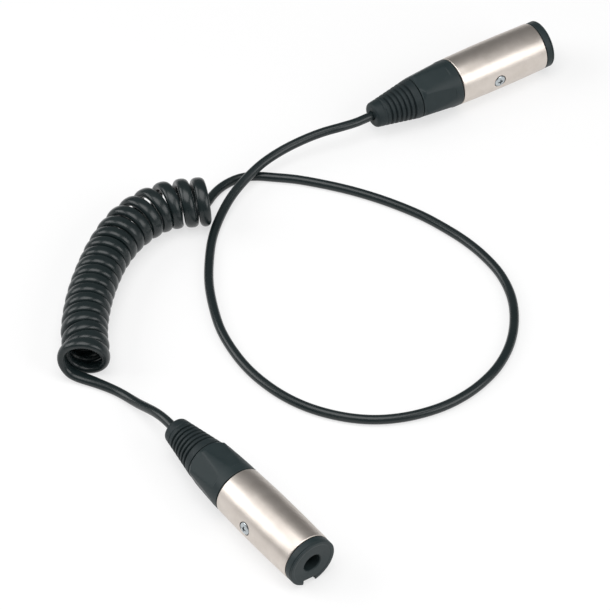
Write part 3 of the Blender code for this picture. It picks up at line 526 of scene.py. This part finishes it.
# ---- shell -------------------------------------------------------------------------------
def add_shell(tag, materials):
    bore = SHELL_RADIUS - SHELL_WALL
    relief_end = THREAD_LENGTH + THREAD_RELIEF
    corners = [
        (bore, relief_end + SHELL_EDGE, 0.0),
        (bore, SHELL_LENGTH, SHELL_MOUTH_EDGE),
        (SHELL_FRONT_RADIUS, SHELL_LENGTH, SHELL_EDGE),
        (SHELL_RADIUS, SHELL_BELLY_END, SHELL_BELLY_ROUND),
        (SHELL_RADIUS, SHELL_BELLY_START, SHELL_BELLY_ROUND),
        (SHELL_REAR_RADIUS, 0.0, SHELL_EDGE),
        (THREAD_RADIUS, 0.0, THREAD_MOUTH_EDGE),
        (THREAD_RADIUS, relief_end, 0.0),
    ]
    shell = turned("nickel_shell_" + tag, rounded(corners, FINE_ARC), TURN_STEPS, True)
    hole = bmesh.new()
    place = Matrix.Translation((-SHELL_RADIUS, 0.0, SCREW_STATION))
    bmesh.ops.create_cone(
        hole, cap_ends=True, segments=SMALL_TURN_STEPS, depth=4 * SHELL_WALL,
        radius1=SCREW_HEAD_RADIUS + CLEARANCE, radius2=SCREW_HEAD_RADIUS + CLEARANCE,
        matrix=place @ Matrix.Rotation(math.pi / 2, 4, "Y"),
    )
    cut(shell, mesh_object("hole", hole))
    dress(shell, tag, "cable", "shell_" + tag, "satin_nickel", materials)


# ---- insert ------------------------------------------------------------------------------
def add_insert(tag, materials):
    line = FACE - FLANGE_LINE
    half = FLANGE_LINE_WIDTH / 2
    corners = [
        (0.0, BORE_END, 0.0),
        (BORE_RADIUS, BORE_END, 0.0),
        (BORE_RADIUS, FACE - FACE_DISH - BORE_LEAD_IN, 0.0),
        (BORE_RADIUS + BORE_LEAD_IN, FACE - FACE_DISH, BORE_MOUTH_EDGE),
        (FLANGE_RADIUS - DISH_EDGE, FACE - FACE_DISH, DISH_EDGE_ROUND),
        (FLANGE_RADIUS - RIM_EDGE, FACE, RIM_EDGE_ROUND),
        (FLANGE_RADIUS, FACE, FLANGE_EDGE),
        (FLANGE_RADIUS, line + half, FLANGE_LINE_EDGE),
        (FLANGE_RADIUS - FLANGE_LINE_DEPTH, line, FLANGE_LINE_FLOOR),
        (FLANGE_RADIUS, line - half, FLANGE_LINE_EDGE),
        (FLANGE_RADIUS, FLANGE_REAR, FLANGE_REAR_EDGE),
        (INSERT_RADIUS, FLANGE_REAR, 0.0),
        (INSERT_RADIUS, INSERT_REAR, INSERT_REAR_EDGE),
        (0.0, INSERT_REAR, 0.0),
    ]
    insert = turned("moulded_insert_" + tag, rounded(corners, COARSE_ARC), TURN_STEPS, False)
    keyway = bmesh.new()
    length = 2 * (FACE - FLANGE_REAR + CLEARANCE)
    place = Matrix.Translation((0.0, -FLANGE_RADIUS, FACE))
    size = (KEYWAY_WIDTH, 2 * KEYWAY_DEPTH, length, 1.0)
    bmesh.ops.create_cube(keyway, size=1.0, matrix=place @ Matrix.Diagonal(size))
    cut(insert, mesh_object("keyway", keyway))
    screw_hole = bmesh.new()
    depth = INSERT_RADIUS - SCREW_SHANK_END + CLEARANCE
    bmesh.ops.create_cone(
        screw_hole, cap_ends=True, segments=SMALL_TURN_STEPS, depth=2 * depth,
        radius1=SCREW_SHANK_RADIUS + CLEARANCE, radius2=SCREW_SHANK_RADIUS + CLEARANCE,
        matrix=Matrix.Translation((-INSERT_RADIUS, 0.0, SCREW_STATION))
        @ Matrix.Rotation(math.pi / 2, 4, "Y"),
    )
    cut(insert, mesh_object("screw_hole", screw_hole))
    slots = bmesh.new()
    depth = SLOT_OUTER_RADIUS - CONTACT_RADIUS + STRIP_THICKNESS + CLEARANCE
    width = STRIP_WIDTH + 2 * CLEARANCE
    wall = BORE_END - INSERT_REAR + 2 * CLEARANCE
    for angle, contact in SPRING_CONTACTS.items():
        length = FACE - contact + SLOT_PAST_CONTACT - BORE_END
        slot = radial_frame(angle, BORE_END + length / 2, SLOT_OUTER_RADIUS - depth / 2)
        size = (length, depth, width, 1.0)
        bmesh.ops.create_cube(slots, size=1.0, matrix=slot @ Matrix.Diagonal(size))
        slit = radial_frame(angle, (BORE_END + INSERT_REAR) / 2, STRIP_ROOT_RADIUS)
        size = (wall, STRIP_THICKNESS + 2 * CLEARANCE, width, 1.0)
        bmesh.ops.create_cube(slots, size=1.0, matrix=slit @ Matrix.Diagonal(size))
    cut(insert, mesh_object("slots", slots), overlapping=True)
    dress(insert, tag, "cable", "insert_" + tag, "black_plastic", materials)


# ---- side screw --------------------------------------------------------------------------
def add_screw(tag, materials):
    corners = [(0.0, SCREW_HEAD_TOP)]
    for i in range(1, SCREW_DOME_STEPS + 1):
        share = i / SCREW_DOME_STEPS
        corners.append((share * (SCREW_HEAD_RADIUS - SCREW_HEAD_EDGE),
                        SCREW_HEAD_TOP - SCREW_HEAD_DOME * share * share))
    neck = INSERT_RADIUS + CLEARANCE
    corners += [
        (SCREW_HEAD_RADIUS, SCREW_HEAD_TOP - SCREW_HEAD_DOME - SCREW_HEAD_DROP),
        (SCREW_HEAD_RADIUS, neck),
        (SCREW_SHANK_RADIUS, neck),
        (SCREW_SHANK_RADIUS, SCREW_SHANK_END),
        (0.0, SCREW_SHANK_END),
    ]
    screw = turned("cross_screw_" + tag, corners, SMALL_TURN_STEPS, False)
    for turn in (0.0, math.pi / 2):
        blade = bmesh.new()
        bmesh.ops.create_cube(blade, size=1.0, matrix=Matrix.Diagonal(
            (RECESS_SPAN, RECESS_WIDTH, 2 * RECESS_DEPTH, 1.0)))
        for corner in blade.verts:
            if corner.co.z < 0:
                corner.co.x *= RECESS_SPAN_LEFT
                corner.co.y *= RECESS_WIDTH_LEFT
        blade.transform(Matrix.Translation((0.0, 0.0, SCREW_HEAD_TOP))
                        @ Matrix.Rotation(turn, 4, "Z"))
        cut(screw, mesh_object("recess", blade))
    screw.data.transform(Matrix.Translation((0.0, 0.0, SCREW_STATION))
                         @ Matrix.Rotation(-math.pi / 2, 4, "Y"))
    dress(screw, tag, "cable", "screw_" + tag, "bright_zinc", materials, SCREW_SHARP_ANGLE)


# ---- boot nut ----------------------------------------------------------------------------
def soft_least(first, second, width):
    """The lesser of two values, with the corner between them rounded off."""
    share = np.clip(0.5 + 0.5 * (second - first) / width, 0.0, 1.0)
    return second + (first - second) * share - width * share * (1 - share)


def thread_radii(s, angles):
    """Radii of the spigot's thread, whose ridges run backwards as the angle grows."""
    phase = (s / THREAD_PITCH + angles / math.tau) % 1.0
    height = np.clip(THREAD_CREST - THREAD_FLANK * np.abs(phase - 0.5), 0.0, 1.0)
    end = min(1.0, (THREAD_LENGTH - s) / THREAD_FADE)
    return SPIGOT_RADIUS - THREAD_DEPTH * (1 - np.minimum(height, end))


def add_boot_nut(tag, materials):
    ridge = math.radians(SOCKETS[tag]["ridge"])
    pitch = math.tau / FLAT_COUNT
    slope = (FLAT_FRONT_HEIGHT - FLAT_REAR_HEIGHT) / (NUT_SHOULDER - NUT_REAR)

    def radius_at(radius, s, angles):
        if s > NUT_FRONT and radius > SPIGOT_MIDDLE_RADIUS:
            return thread_radii(s, angles)
        if s > NUT_FRONT or radius < FLAT_INNER_RADIUS:
            return np.full(len(angles), radius)
        lean = (angles - ridge) % pitch - pitch / 2
        height = FLAT_REAR_HEIGHT + slope * (s - NUT_REAR)
        height += FLAT_END_SLOPE * max(0.0, s - NUT_SHOULDER)
        return soft_least(np.full(len(angles), radius), height / np.cos(lean), FLAT_BLEND)

    outside = rounded([
        (SPIGOT_RADIUS, NUT_FRONT, 0.0),
        (NUT_FRONT_RADIUS, NUT_FRONT, NUT_FRONT_EDGE),
        (NUT_SHOULDER_RADIUS, NUT_SHOULDER, NUT_SHOULDER_ROUND),
        (NUT_MIDDLE_RADIUS, NUT_MIDDLE, NUT_MIDDLE_ROUND),
        (NUT_RIDGE_RADIUS, NUT_STEP_TOP, NUT_STEP_ROUND),
        (NUT_NECK_RADIUS, NUT_STEP_FOOT, NUT_STEP_ROUND),
        (NUT_REAR_RADIUS, NUT_REAR, NUT_REAR_EDGE),
        (HUB_RADIUS, NUT_REAR, 0.0),
    ], FINE_ARC)
    grip = []
    for (r1, s1), (r2, s2) in zip(outside, outside[1:]):
        spacing = NUT_FINE_ROWS if s1 > NUT_SHOULDER else NUT_ROWS
        count = max(1, round(abs(s2 - s1) / spacing))
        grip += [(r1 + (r2 - r1) * i / count, s1 + (s2 - s1) * i / count) for i in range(count)]
    length = THREAD_LENGTH - NUT_FRONT
    rows = round(length / THREAD_ROWS)
    spigot = [(SPIGOT_RADIUS, THREAD_LENGTH - length * i / rows) for i in range(rows)]
    inside = [
        (HUB_RADIUS, HUB_END),
        (HUB_BORE_RADIUS, HUB_END),
        (HUB_BORE_RADIUS, CONE_REAR - (CONE_REAR_RADIUS - HUB_BORE_RADIUS)),
        (CONE_REAR_RADIUS, CONE_REAR),
        (SPIGOT_BORE_RADIUS, CONE_FRONT),
        (SPIGOT_BORE_RADIUS, THREAD_LENGTH),
    ]
    profile = spigot + grip + [outside[-1]] + inside
    nut = turned("grip_nut_" + tag, profile, TURN_STEPS, True, radius_at)
    dress(nut, tag, "boot_" + tag, "boot_nut_" + tag, "black_plastic", materials,
          BOOT_SHARP_ANGLE)


# ---- boot tail ---------------------------------------------------------------------------
def tail_radius(back):
    """The tail's own radius, this far behind its front."""
    share = back / (TAIL_FRONT - TAIL_REAR)
    return TAIL_FRONT_RADIUS + (TAIL_REAR_RADIUS - TAIL_FRONT_RADIUS) * share


def groove(back, depth):
    """Corners of a groove, from front to rear, with a flat bottom and soft lips."""
    half = GROOVE_WIDTH / 2
    floor = GROOVE_FLOOR * half
    return [
        (tail_radius(back - half), TAIL_FRONT - back + half, GROOVE_LIP_ROUND),
        (tail_radius(back - floor) - depth, TAIL_FRONT - back + floor, GROOVE_FLOOR_ROUND),
        (tail_radius(back + floor) - depth, TAIL_FRONT - back - floor, GROOVE_FLOOR_ROUND),
        (tail_radius(back + half), TAIL_FRONT - back - half, GROOVE_LIP_ROUND),
    ]


def add_boot_tail(tag, materials):
    counterbore = HUB_RADIUS + CLEARANCE
    corners = [
        (counterbore, HUB_END - CLEARANCE, 0.0),
        (counterbore, TAIL_FRONT, 0.0),
        (TAIL_FRONT_RADIUS, TAIL_FRONT, TAIL_FRONT_EDGE),
    ]
    for i in range(GROOVE_COUNT):
        corners += groove(FIRST_GROOVE + i * GROOVE_PITCH, GROOVE_DEPTH)
    corners += groove(FAINT_GROOVE, FAINT_GROOVE_DEPTH)
    corners += [
        (TAIL_REAR_RADIUS, TAIL_REAR, TAIL_ROUND),
        (TAIL_LIP_RADIUS, TAIL_REAR, TAIL_LIP_EDGE),
        (TAIL_LIP_RADIUS, TAIL_REAR + TAIL_LIP_LENGTH, 0.0),
        (TAIL_BORE_RADIUS, TAIL_REAR + TAIL_LIP_LENGTH, 0.0),
        (TAIL_BORE_RADIUS, HUB_END - CLEARANCE, 0.0),
    ]
    tail = turned("ribbed_tail_" + tag, rounded(corners, MIDDLE_ARC), TURN_STEPS, True)
    dress(tail, tag, "boot_" + tag, "boot_tail_" + tag, "black_rubber", materials,
          BOOT_SHARP_ANGLE)


# ---- cord --------------------------------------------------------------------------------
def fine_curve(points):
    """A smooth curve through all the points (centripetal Catmull-Rom), finely sampled."""
    places = np.array(points, dtype=float)
    places = np.vstack([2 * places[0] - places[1], places, 2 * places[-1] - places[-2]])
    rows = []
    for a, b, c, d in zip(places, places[1:], places[2:], places[3:]):
        t1 = np.linalg.norm(b - a) ** 0.5
        t2 = t1 + np.linalg.norm(c - b) ** 0.5
        t3 = t2 + np.linalg.norm(d - c) ** 0.5
        for t in np.linspace(t1, t2, CURVE_STEPS, endpoint=False):
            ab = a + (b - a) * (t / t1)
            bc = b + (c - b) * ((t - t1) / (t2 - t1))
            cd = c + (d - c) * ((t - t2) / (t3 - t2))
            abc = ab + (bc - ab) * (t / t2)
            bcd = bc + (cd - bc) * ((t - t1) / (t3 - t1))
            rows.append(abc + (bcd - abc) * ((t - t1) / (t2 - t1)))
    rows.append(places[-2])
    return np.array(rows)


def travelled(curve):
    """How far along the curve each of its points lies."""
    steps = np.linalg.norm(np.diff(curve, axis=0), axis=1)
    return np.concatenate([[0.0], np.cumsum(steps)])


def along(curve, distances):
    """Points of the curve at the given distances, run on straight past both ends."""
    reach = travelled(curve)
    places = np.stack([np.interp(distances, reach, curve[:, i]) for i in range(3)], axis=1)
    first = (curve[1] - curve[0]) / np.linalg.norm(curve[1] - curve[0])
    last = (curve[-1] - curve[-2]) / np.linalg.norm(curve[-1] - curve[-2])
    before = np.minimum(distances, 0.0)[:, None]
    after = np.maximum(distances - reach[-1], 0.0)[:, None]
    return places + before * first + after * last


def coil_line():
    """Centre line of the curled stretch, and at each point the way out from its axis."""
    axis = fine_curve([(x * MM, y * MM, 0.0) for x, y in COIL_AXIS_MM])
    turn = np.arange(TURNS * CURL_STEPS + 1) / CURL_STEPS
    loose = np.clip((turn - LOOSE_FROM_TURN) / (LOOSE_TO_TURN - LOOSE_FROM_TURN), 0.0, 1.0)
    loose = loose * loose * (3 - 2 * loose)
    mouth = np.maximum(0.0, 1.0 - turn)
    closing = np.maximum(0.0, 1.0 - (TURNS - turn) / FAR_END_TURNS)
    pitch = TIGHT_PITCH + (LOOSE_PITCH - TIGHT_PITCH) * loose
    pitch = pitch + MOUTH_EXTRA_PITCH * mouth - FAR_END_CLOSING * closing
    radius = TIGHT_RADIUS + (LOOSE_RADIUS - TIGHT_RADIUS) * loose
    radius = radius + (MOUTH_RADIUS - TIGHT_RADIUS) * mouth
    steps = (pitch[1:] + pitch[:-1]) / 2 / CURL_STEPS
    travel = COIL_START + np.concatenate([[0.0], np.cumsum(steps)])
    centre = along(axis, travel)
    ahead = along(axis, travel + TURN_DIRECTION_REACH)
    direction = ahead - along(axis, travel - TURN_DIRECTION_REACH)
    direction /= np.linalg.norm(direction, axis=1)[:, None]
    left = np.stack([-direction[:, 1], direction[:, 0], 0 * turn], axis=1)
    swing = math.pi * (1 + 2 * turn)
    outward = -left * np.sin(swing)[:, None]
    outward[:, 2] = np.cos(swing)
    centre[:, 2] = CORD_DIAMETER / 2 + radius
    return centre + outward * radius[:, None], outward


def level_ends(line):
    """Which way the curled stretch runs where it starts and where it ends, level."""
    ends = []
    for direction in (line[3] - line[0], line[-1] - line[-4]):
        level = np.array([direction[0], direction[1], 0.0])
        ends.append(level / np.linalg.norm(level))
    return ends


def socket_line(tag):
    """The cord's straight run on a socket's axis, from inside its boot to behind the tail."""
    x, y = SOCKETS[tag]["place"]
    turn = math.radians(SOCKETS[tag]["azimuth"])
    end = TAIL_REAR - 2 * CORD_DIAMETER
    stations = [CORD_START + (end - CORD_START) * i / STRAIGHT_STEPS
                for i in range(STRAIGHT_STEPS + 1)]
    return [(x + s * math.cos(turn), y + s * math.sin(turn), AXIS_HEIGHT) for s in stations]


def smoothed(values, reach, width):
    """Each value averaged with its neighbours along the cord, ends kept."""
    step = reach[-1] / (len(reach) - 1)
    half = int(SMOOTHING_REACH * width / step)
    weights = np.exp(-0.5 * (np.arange(-half, half + 1) * step / width) ** 2)
    weights /= weights.sum()
    padded = np.concatenate([
        2 * values[:1] - values[half:0:-1], values, 2 * values[-1:] - values[-2:-half - 2:-1],
    ])
    return np.stack([np.convolve(padded[:, i], weights, "valid")
                     for i in range(values.shape[1])], axis=1)


def eased(path, rates):
    """The path with each point drawn towards the middle of its neighbours, at its own rate."""
    path = path.copy()
    for _ in range(EASE_PASSES):
        path[1:-1] += rates[1:-1, None] * ((path[:-2] + path[2:]) / 2 - path[1:-1])
    return path


def cord_route():
    """Centre line of the whole cord with, at each ring, the way out from the curls' axis, the
    share of the curl's pressed section, and the distance to the nearest neighbouring turn."""
    line, outward = coil_line()
    first, last = level_ends(line)
    gap = CORD_DIAMETER + JOINT_LINE
    lead_a = [line[0] - first * (gap + run) for run in (0.0, LEAD_END_RUN)]
    lead_a += [(x * MM, y * MM, z * MM) for x, y, z in LEAD_A_MM] + socket_line("a")[::-1]
    lead_b = [line[-1] + last * (gap + run) for run in (0.0, LEAD_END_RUN)]
    lead_b += [(x * MM, y * MM, z * MM) for x, y, z in LEAD_B_MM] + socket_line("b")[::-1]
    before = fine_curve(lead_a)[::-1]
    after = fine_curve(lead_b)

    down = np.array([0.0, 0.0, -1.0])
    path = np.concatenate([before, line, after])
    outward = np.concatenate([
        np.broadcast_to(down, before.shape), outward, np.broadcast_to(down, after.shape),
    ])
    reach = travelled(path)
    start, end = reach[len(before)], reach[len(before) + len(line) - 1]
    keep = np.concatenate([[True], np.diff(reach) > SAME_PLACE])
    path, outward, reach = path[keep], outward[keep], reach[keep]
    even = np.linspace(0.0, reach[-1], round(reach[-1] / CORD_RING_SPACING) + 1)
    path = np.stack([np.interp(even, reach, path[:, i]) for i in range(3)], axis=1)
    outward = np.stack([np.interp(even, reach, outward[:, i]) for i in range(3)], axis=1)
    opening = np.clip((even - start + PRESS_BEFORE) / PRESS_LENGTH, 0.0, 1.0)
    pressed = np.minimum(opening, np.clip((end - even) / PRESS_CLOSE, 0.0, 1.0))
    pressed = pressed * pressed * (3 - 2 * pressed)
    lift = (CORD_DIAMETER - CURL_THICKNESS) / 2 * pressed
    path = smoothed(path + outward * lift[:, None], even, ROUTE_SMOOTHING)
    near = np.clip((even - EASE_FROM) / EASE_RAMP, 0.0, 1.0)
    near = np.minimum(near, np.clip((start + EASE_PAST_START - even) / EASE_RAMP, 0.0, 1.0))
    path = eased(path, EASE_RATE * near)
    beside = np.array([
        np.linalg.norm(path[np.abs(even - here) > HALF_TURN] - place, axis=1).min()
        for here, place in zip(even, path)
    ])
    return path, outward, pressed, beside


def carried_frames(path):
    """A pair of cross directions at each ring that turns with the path and doesn't twist."""
    tangents = np.gradient(path, axis=0)
    tangents /= np.linalg.norm(tangents, axis=1)[:, None]
    side = np.cross(tangents[0], [0.0, 0.0, 1.0])
    side /= np.linalg.norm(side)
    sides = [side]
    for i in range(1, len(path)):
        step = path[i] - path[i - 1]
        side = sides[-1] - 2 * step * (step @ sides[-1]) / (step @ step)
        tangent = tangents[i - 1] - 2 * step * (step @ tangents[i - 1]) / (step @ step)
        turn = tangents[i] - tangent
        if turn @ turn > STRAIGHT_ON:
            side = side - 2 * turn * (turn @ side) / (turn @ turn)
        sides.append(side / np.linalg.norm(side))
    sides = np.array(sides)
    return tangents, sides, np.cross(tangents, sides)


def add_cord(materials):
    path, outward, pressed, beside = cord_route()
    tangents, sides, ups = carried_frames(path)
    turned_by = np.arctan2((outward * ups).sum(axis=1), (outward * sides).sum(axis=1))
    width = np.minimum(CURL_WIDTH, beside - CURL_TOUCH)
    width = CORD_DIAMETER + (width - CORD_DIAMETER) * pressed
    thickness = CORD_DIAMETER + (CURL_THICKNESS - CORD_DIAMETER) * pressed
    angles = np.arange(CORD_SIDES) * math.tau / CORD_SIDES
    shape = bmesh.new()
    rings = []
    for i, centre in enumerate(path):
        lean = angles - turned_by[i]
        power = 2.0 + (CURL_SQUARENESS - 2.0) * pressed[i]
        radii = (np.abs(np.cos(lean) / (thickness[i] / 2)) ** power
                 + np.abs(np.sin(lean) / (width[i] / 2)) ** power) ** (-1 / power)
        places = centre + radii[:, None] * (
            np.cos(angles)[:, None] * sides[i] + np.sin(angles)[:, None] * ups[i])
        rings.append([shape.verts.new(place) for place in places])
    for first, second in zip(rings, rings[1:]):
        for i in range(CORD_SIDES):
            j = (i + 1) % CORD_SIDES
            shape.faces.new((first[i], first[j], second[j], second[i]))
    shape.faces.new(rings[0][::-1])
    shape.faces.new(rings[-1])
    cord = mesh_object("curled_cord", shape)
    cord.data.materials.append(materials["cord_jacket"])
    cord.data.shade_smooth()
    cord.data.set_sharp_from_angle(angle=math.radians(CORD_SHARP_ANGLE))
    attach(cord, "cable")
    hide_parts("lead_a", "coil", "lead_b")


# ---- the pieces that keep the frame's own meshes ------------------------------------------
def dress_inner_pieces(materials):
    slots = {
        "tip_spring": "spring_bronze", "ring_spring": "spring_bronze",
        "sleeve_spring": "spring_bronze", "chuck": "chuck_nylon", "cord_end": "cord_jacket",
        "tip_core": "red_core", "ring_core": "white_core", "sleeve_core": "screen_core",
    }
    for tag in SOCKETS:
        for name, slot in slots.items():
            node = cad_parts[f"{name}_{tag}"]
            if not node.data.materials:
                node.data.materials.append(None)
            for place in node.material_slots:
                place.material = materials[slot]


# ---- table and light ---------------------------------------------------------------------
def add_table():
    shape = bmesh.new()
    bmesh.ops.create_grid(shape, x_segments=TABLE_CELLS, y_segments=TABLE_CELLS,
                          size=TABLE_REACH)
    table = mesh_object("table", shape)
    material, nodes, links, shader = new_material("pale_table")
    shader.inputs["Base Color"].default_value = TABLE_COLOUR
    shader.inputs["Roughness"].default_value = TABLE_ROUGHNESS
    shader.inputs["Specular IOR Level"].default_value = TABLE_SPECULAR
    rays = nodes.new("ShaderNodeLightPath")
    seen = nodes.new("ShaderNodeMath")
    seen.operation = "MAXIMUM"
    links.new(rays.outputs["Is Camera Ray"], seen.inputs[0])
    links.new(rays.outputs["Is Glossy Ray"], seen.inputs[1])
    through = nodes.new("ShaderNodeMath")
    through.operation = "MAXIMUM"
    links.new(seen.outputs[0], through.inputs[0])
    links.new(rays.outputs["Is Transmission Ray"], through.inputs[1])
    share = nodes.new("ShaderNodeMath")
    share.operation = "MULTIPLY"
    share.inputs[1].default_value = TABLE_GLOW
    links.new(through.outputs[0], share.inputs[0])
    glow = nodes.new("ShaderNodeEmission")
    mixed = nodes.new("ShaderNodeMixShader")
    links.new(share.outputs[0], mixed.inputs["Fac"])
    links.new(shader.outputs[0], mixed.inputs[1])
    links.new(glow.outputs[0], mixed.inputs[2])
    links.new(mixed.outputs[0], nodes["Material Output"].inputs["Surface"])
    table.data.materials.append(material)


def add_light():
    middle = Vector(CAMERA_TARGET)
    for name, azimuth, elevation, distance, width, height, power in LAMPS:
        turn, rise = math.radians(azimuth), math.radians(elevation)
        way = Vector((math.cos(turn) * math.cos(rise), math.sin(turn) * math.cos(rise),
                      math.sin(rise)))
        data = bpy.data.lights.new(name, "AREA")
        data.shape = "RECTANGLE"
        data.size, data.size_y = width, height
        data.energy = power
        lamp = bpy.data.objects.new(name, data)
        lamp.location = middle + way * distance
        lamp.rotation_euler = (-way).to_track_quat("-Z", "Y").to_euler()
        bpy.context.scene.collection.objects.link(lamp)
    world = bpy.data.worlds.new("studio")
    world.use_nodes = True
    background = world.node_tree.nodes["Background"]
    background.inputs["Color"].default_value = WORLD_COLOUR
    background.inputs["Strength"].default_value = WORLD_STRENGTH
    bpy.context.scene.world = world
    bpy.context.scene.view_settings.view_transform = "Standard"


# ---- making everything -------------------------------------------------------------------
add_camera()
finishes = make_materials()
add_cord(finishes)
for side in SOCKETS:
    add_shell(side, finishes)
    add_insert(side, finishes)
    add_screw(side, finishes)
    add_boot_nut(side, finishes)
    add_boot_tail(side, finishes)
dress_inner_pieces(finishes)
add_table()
add_light()
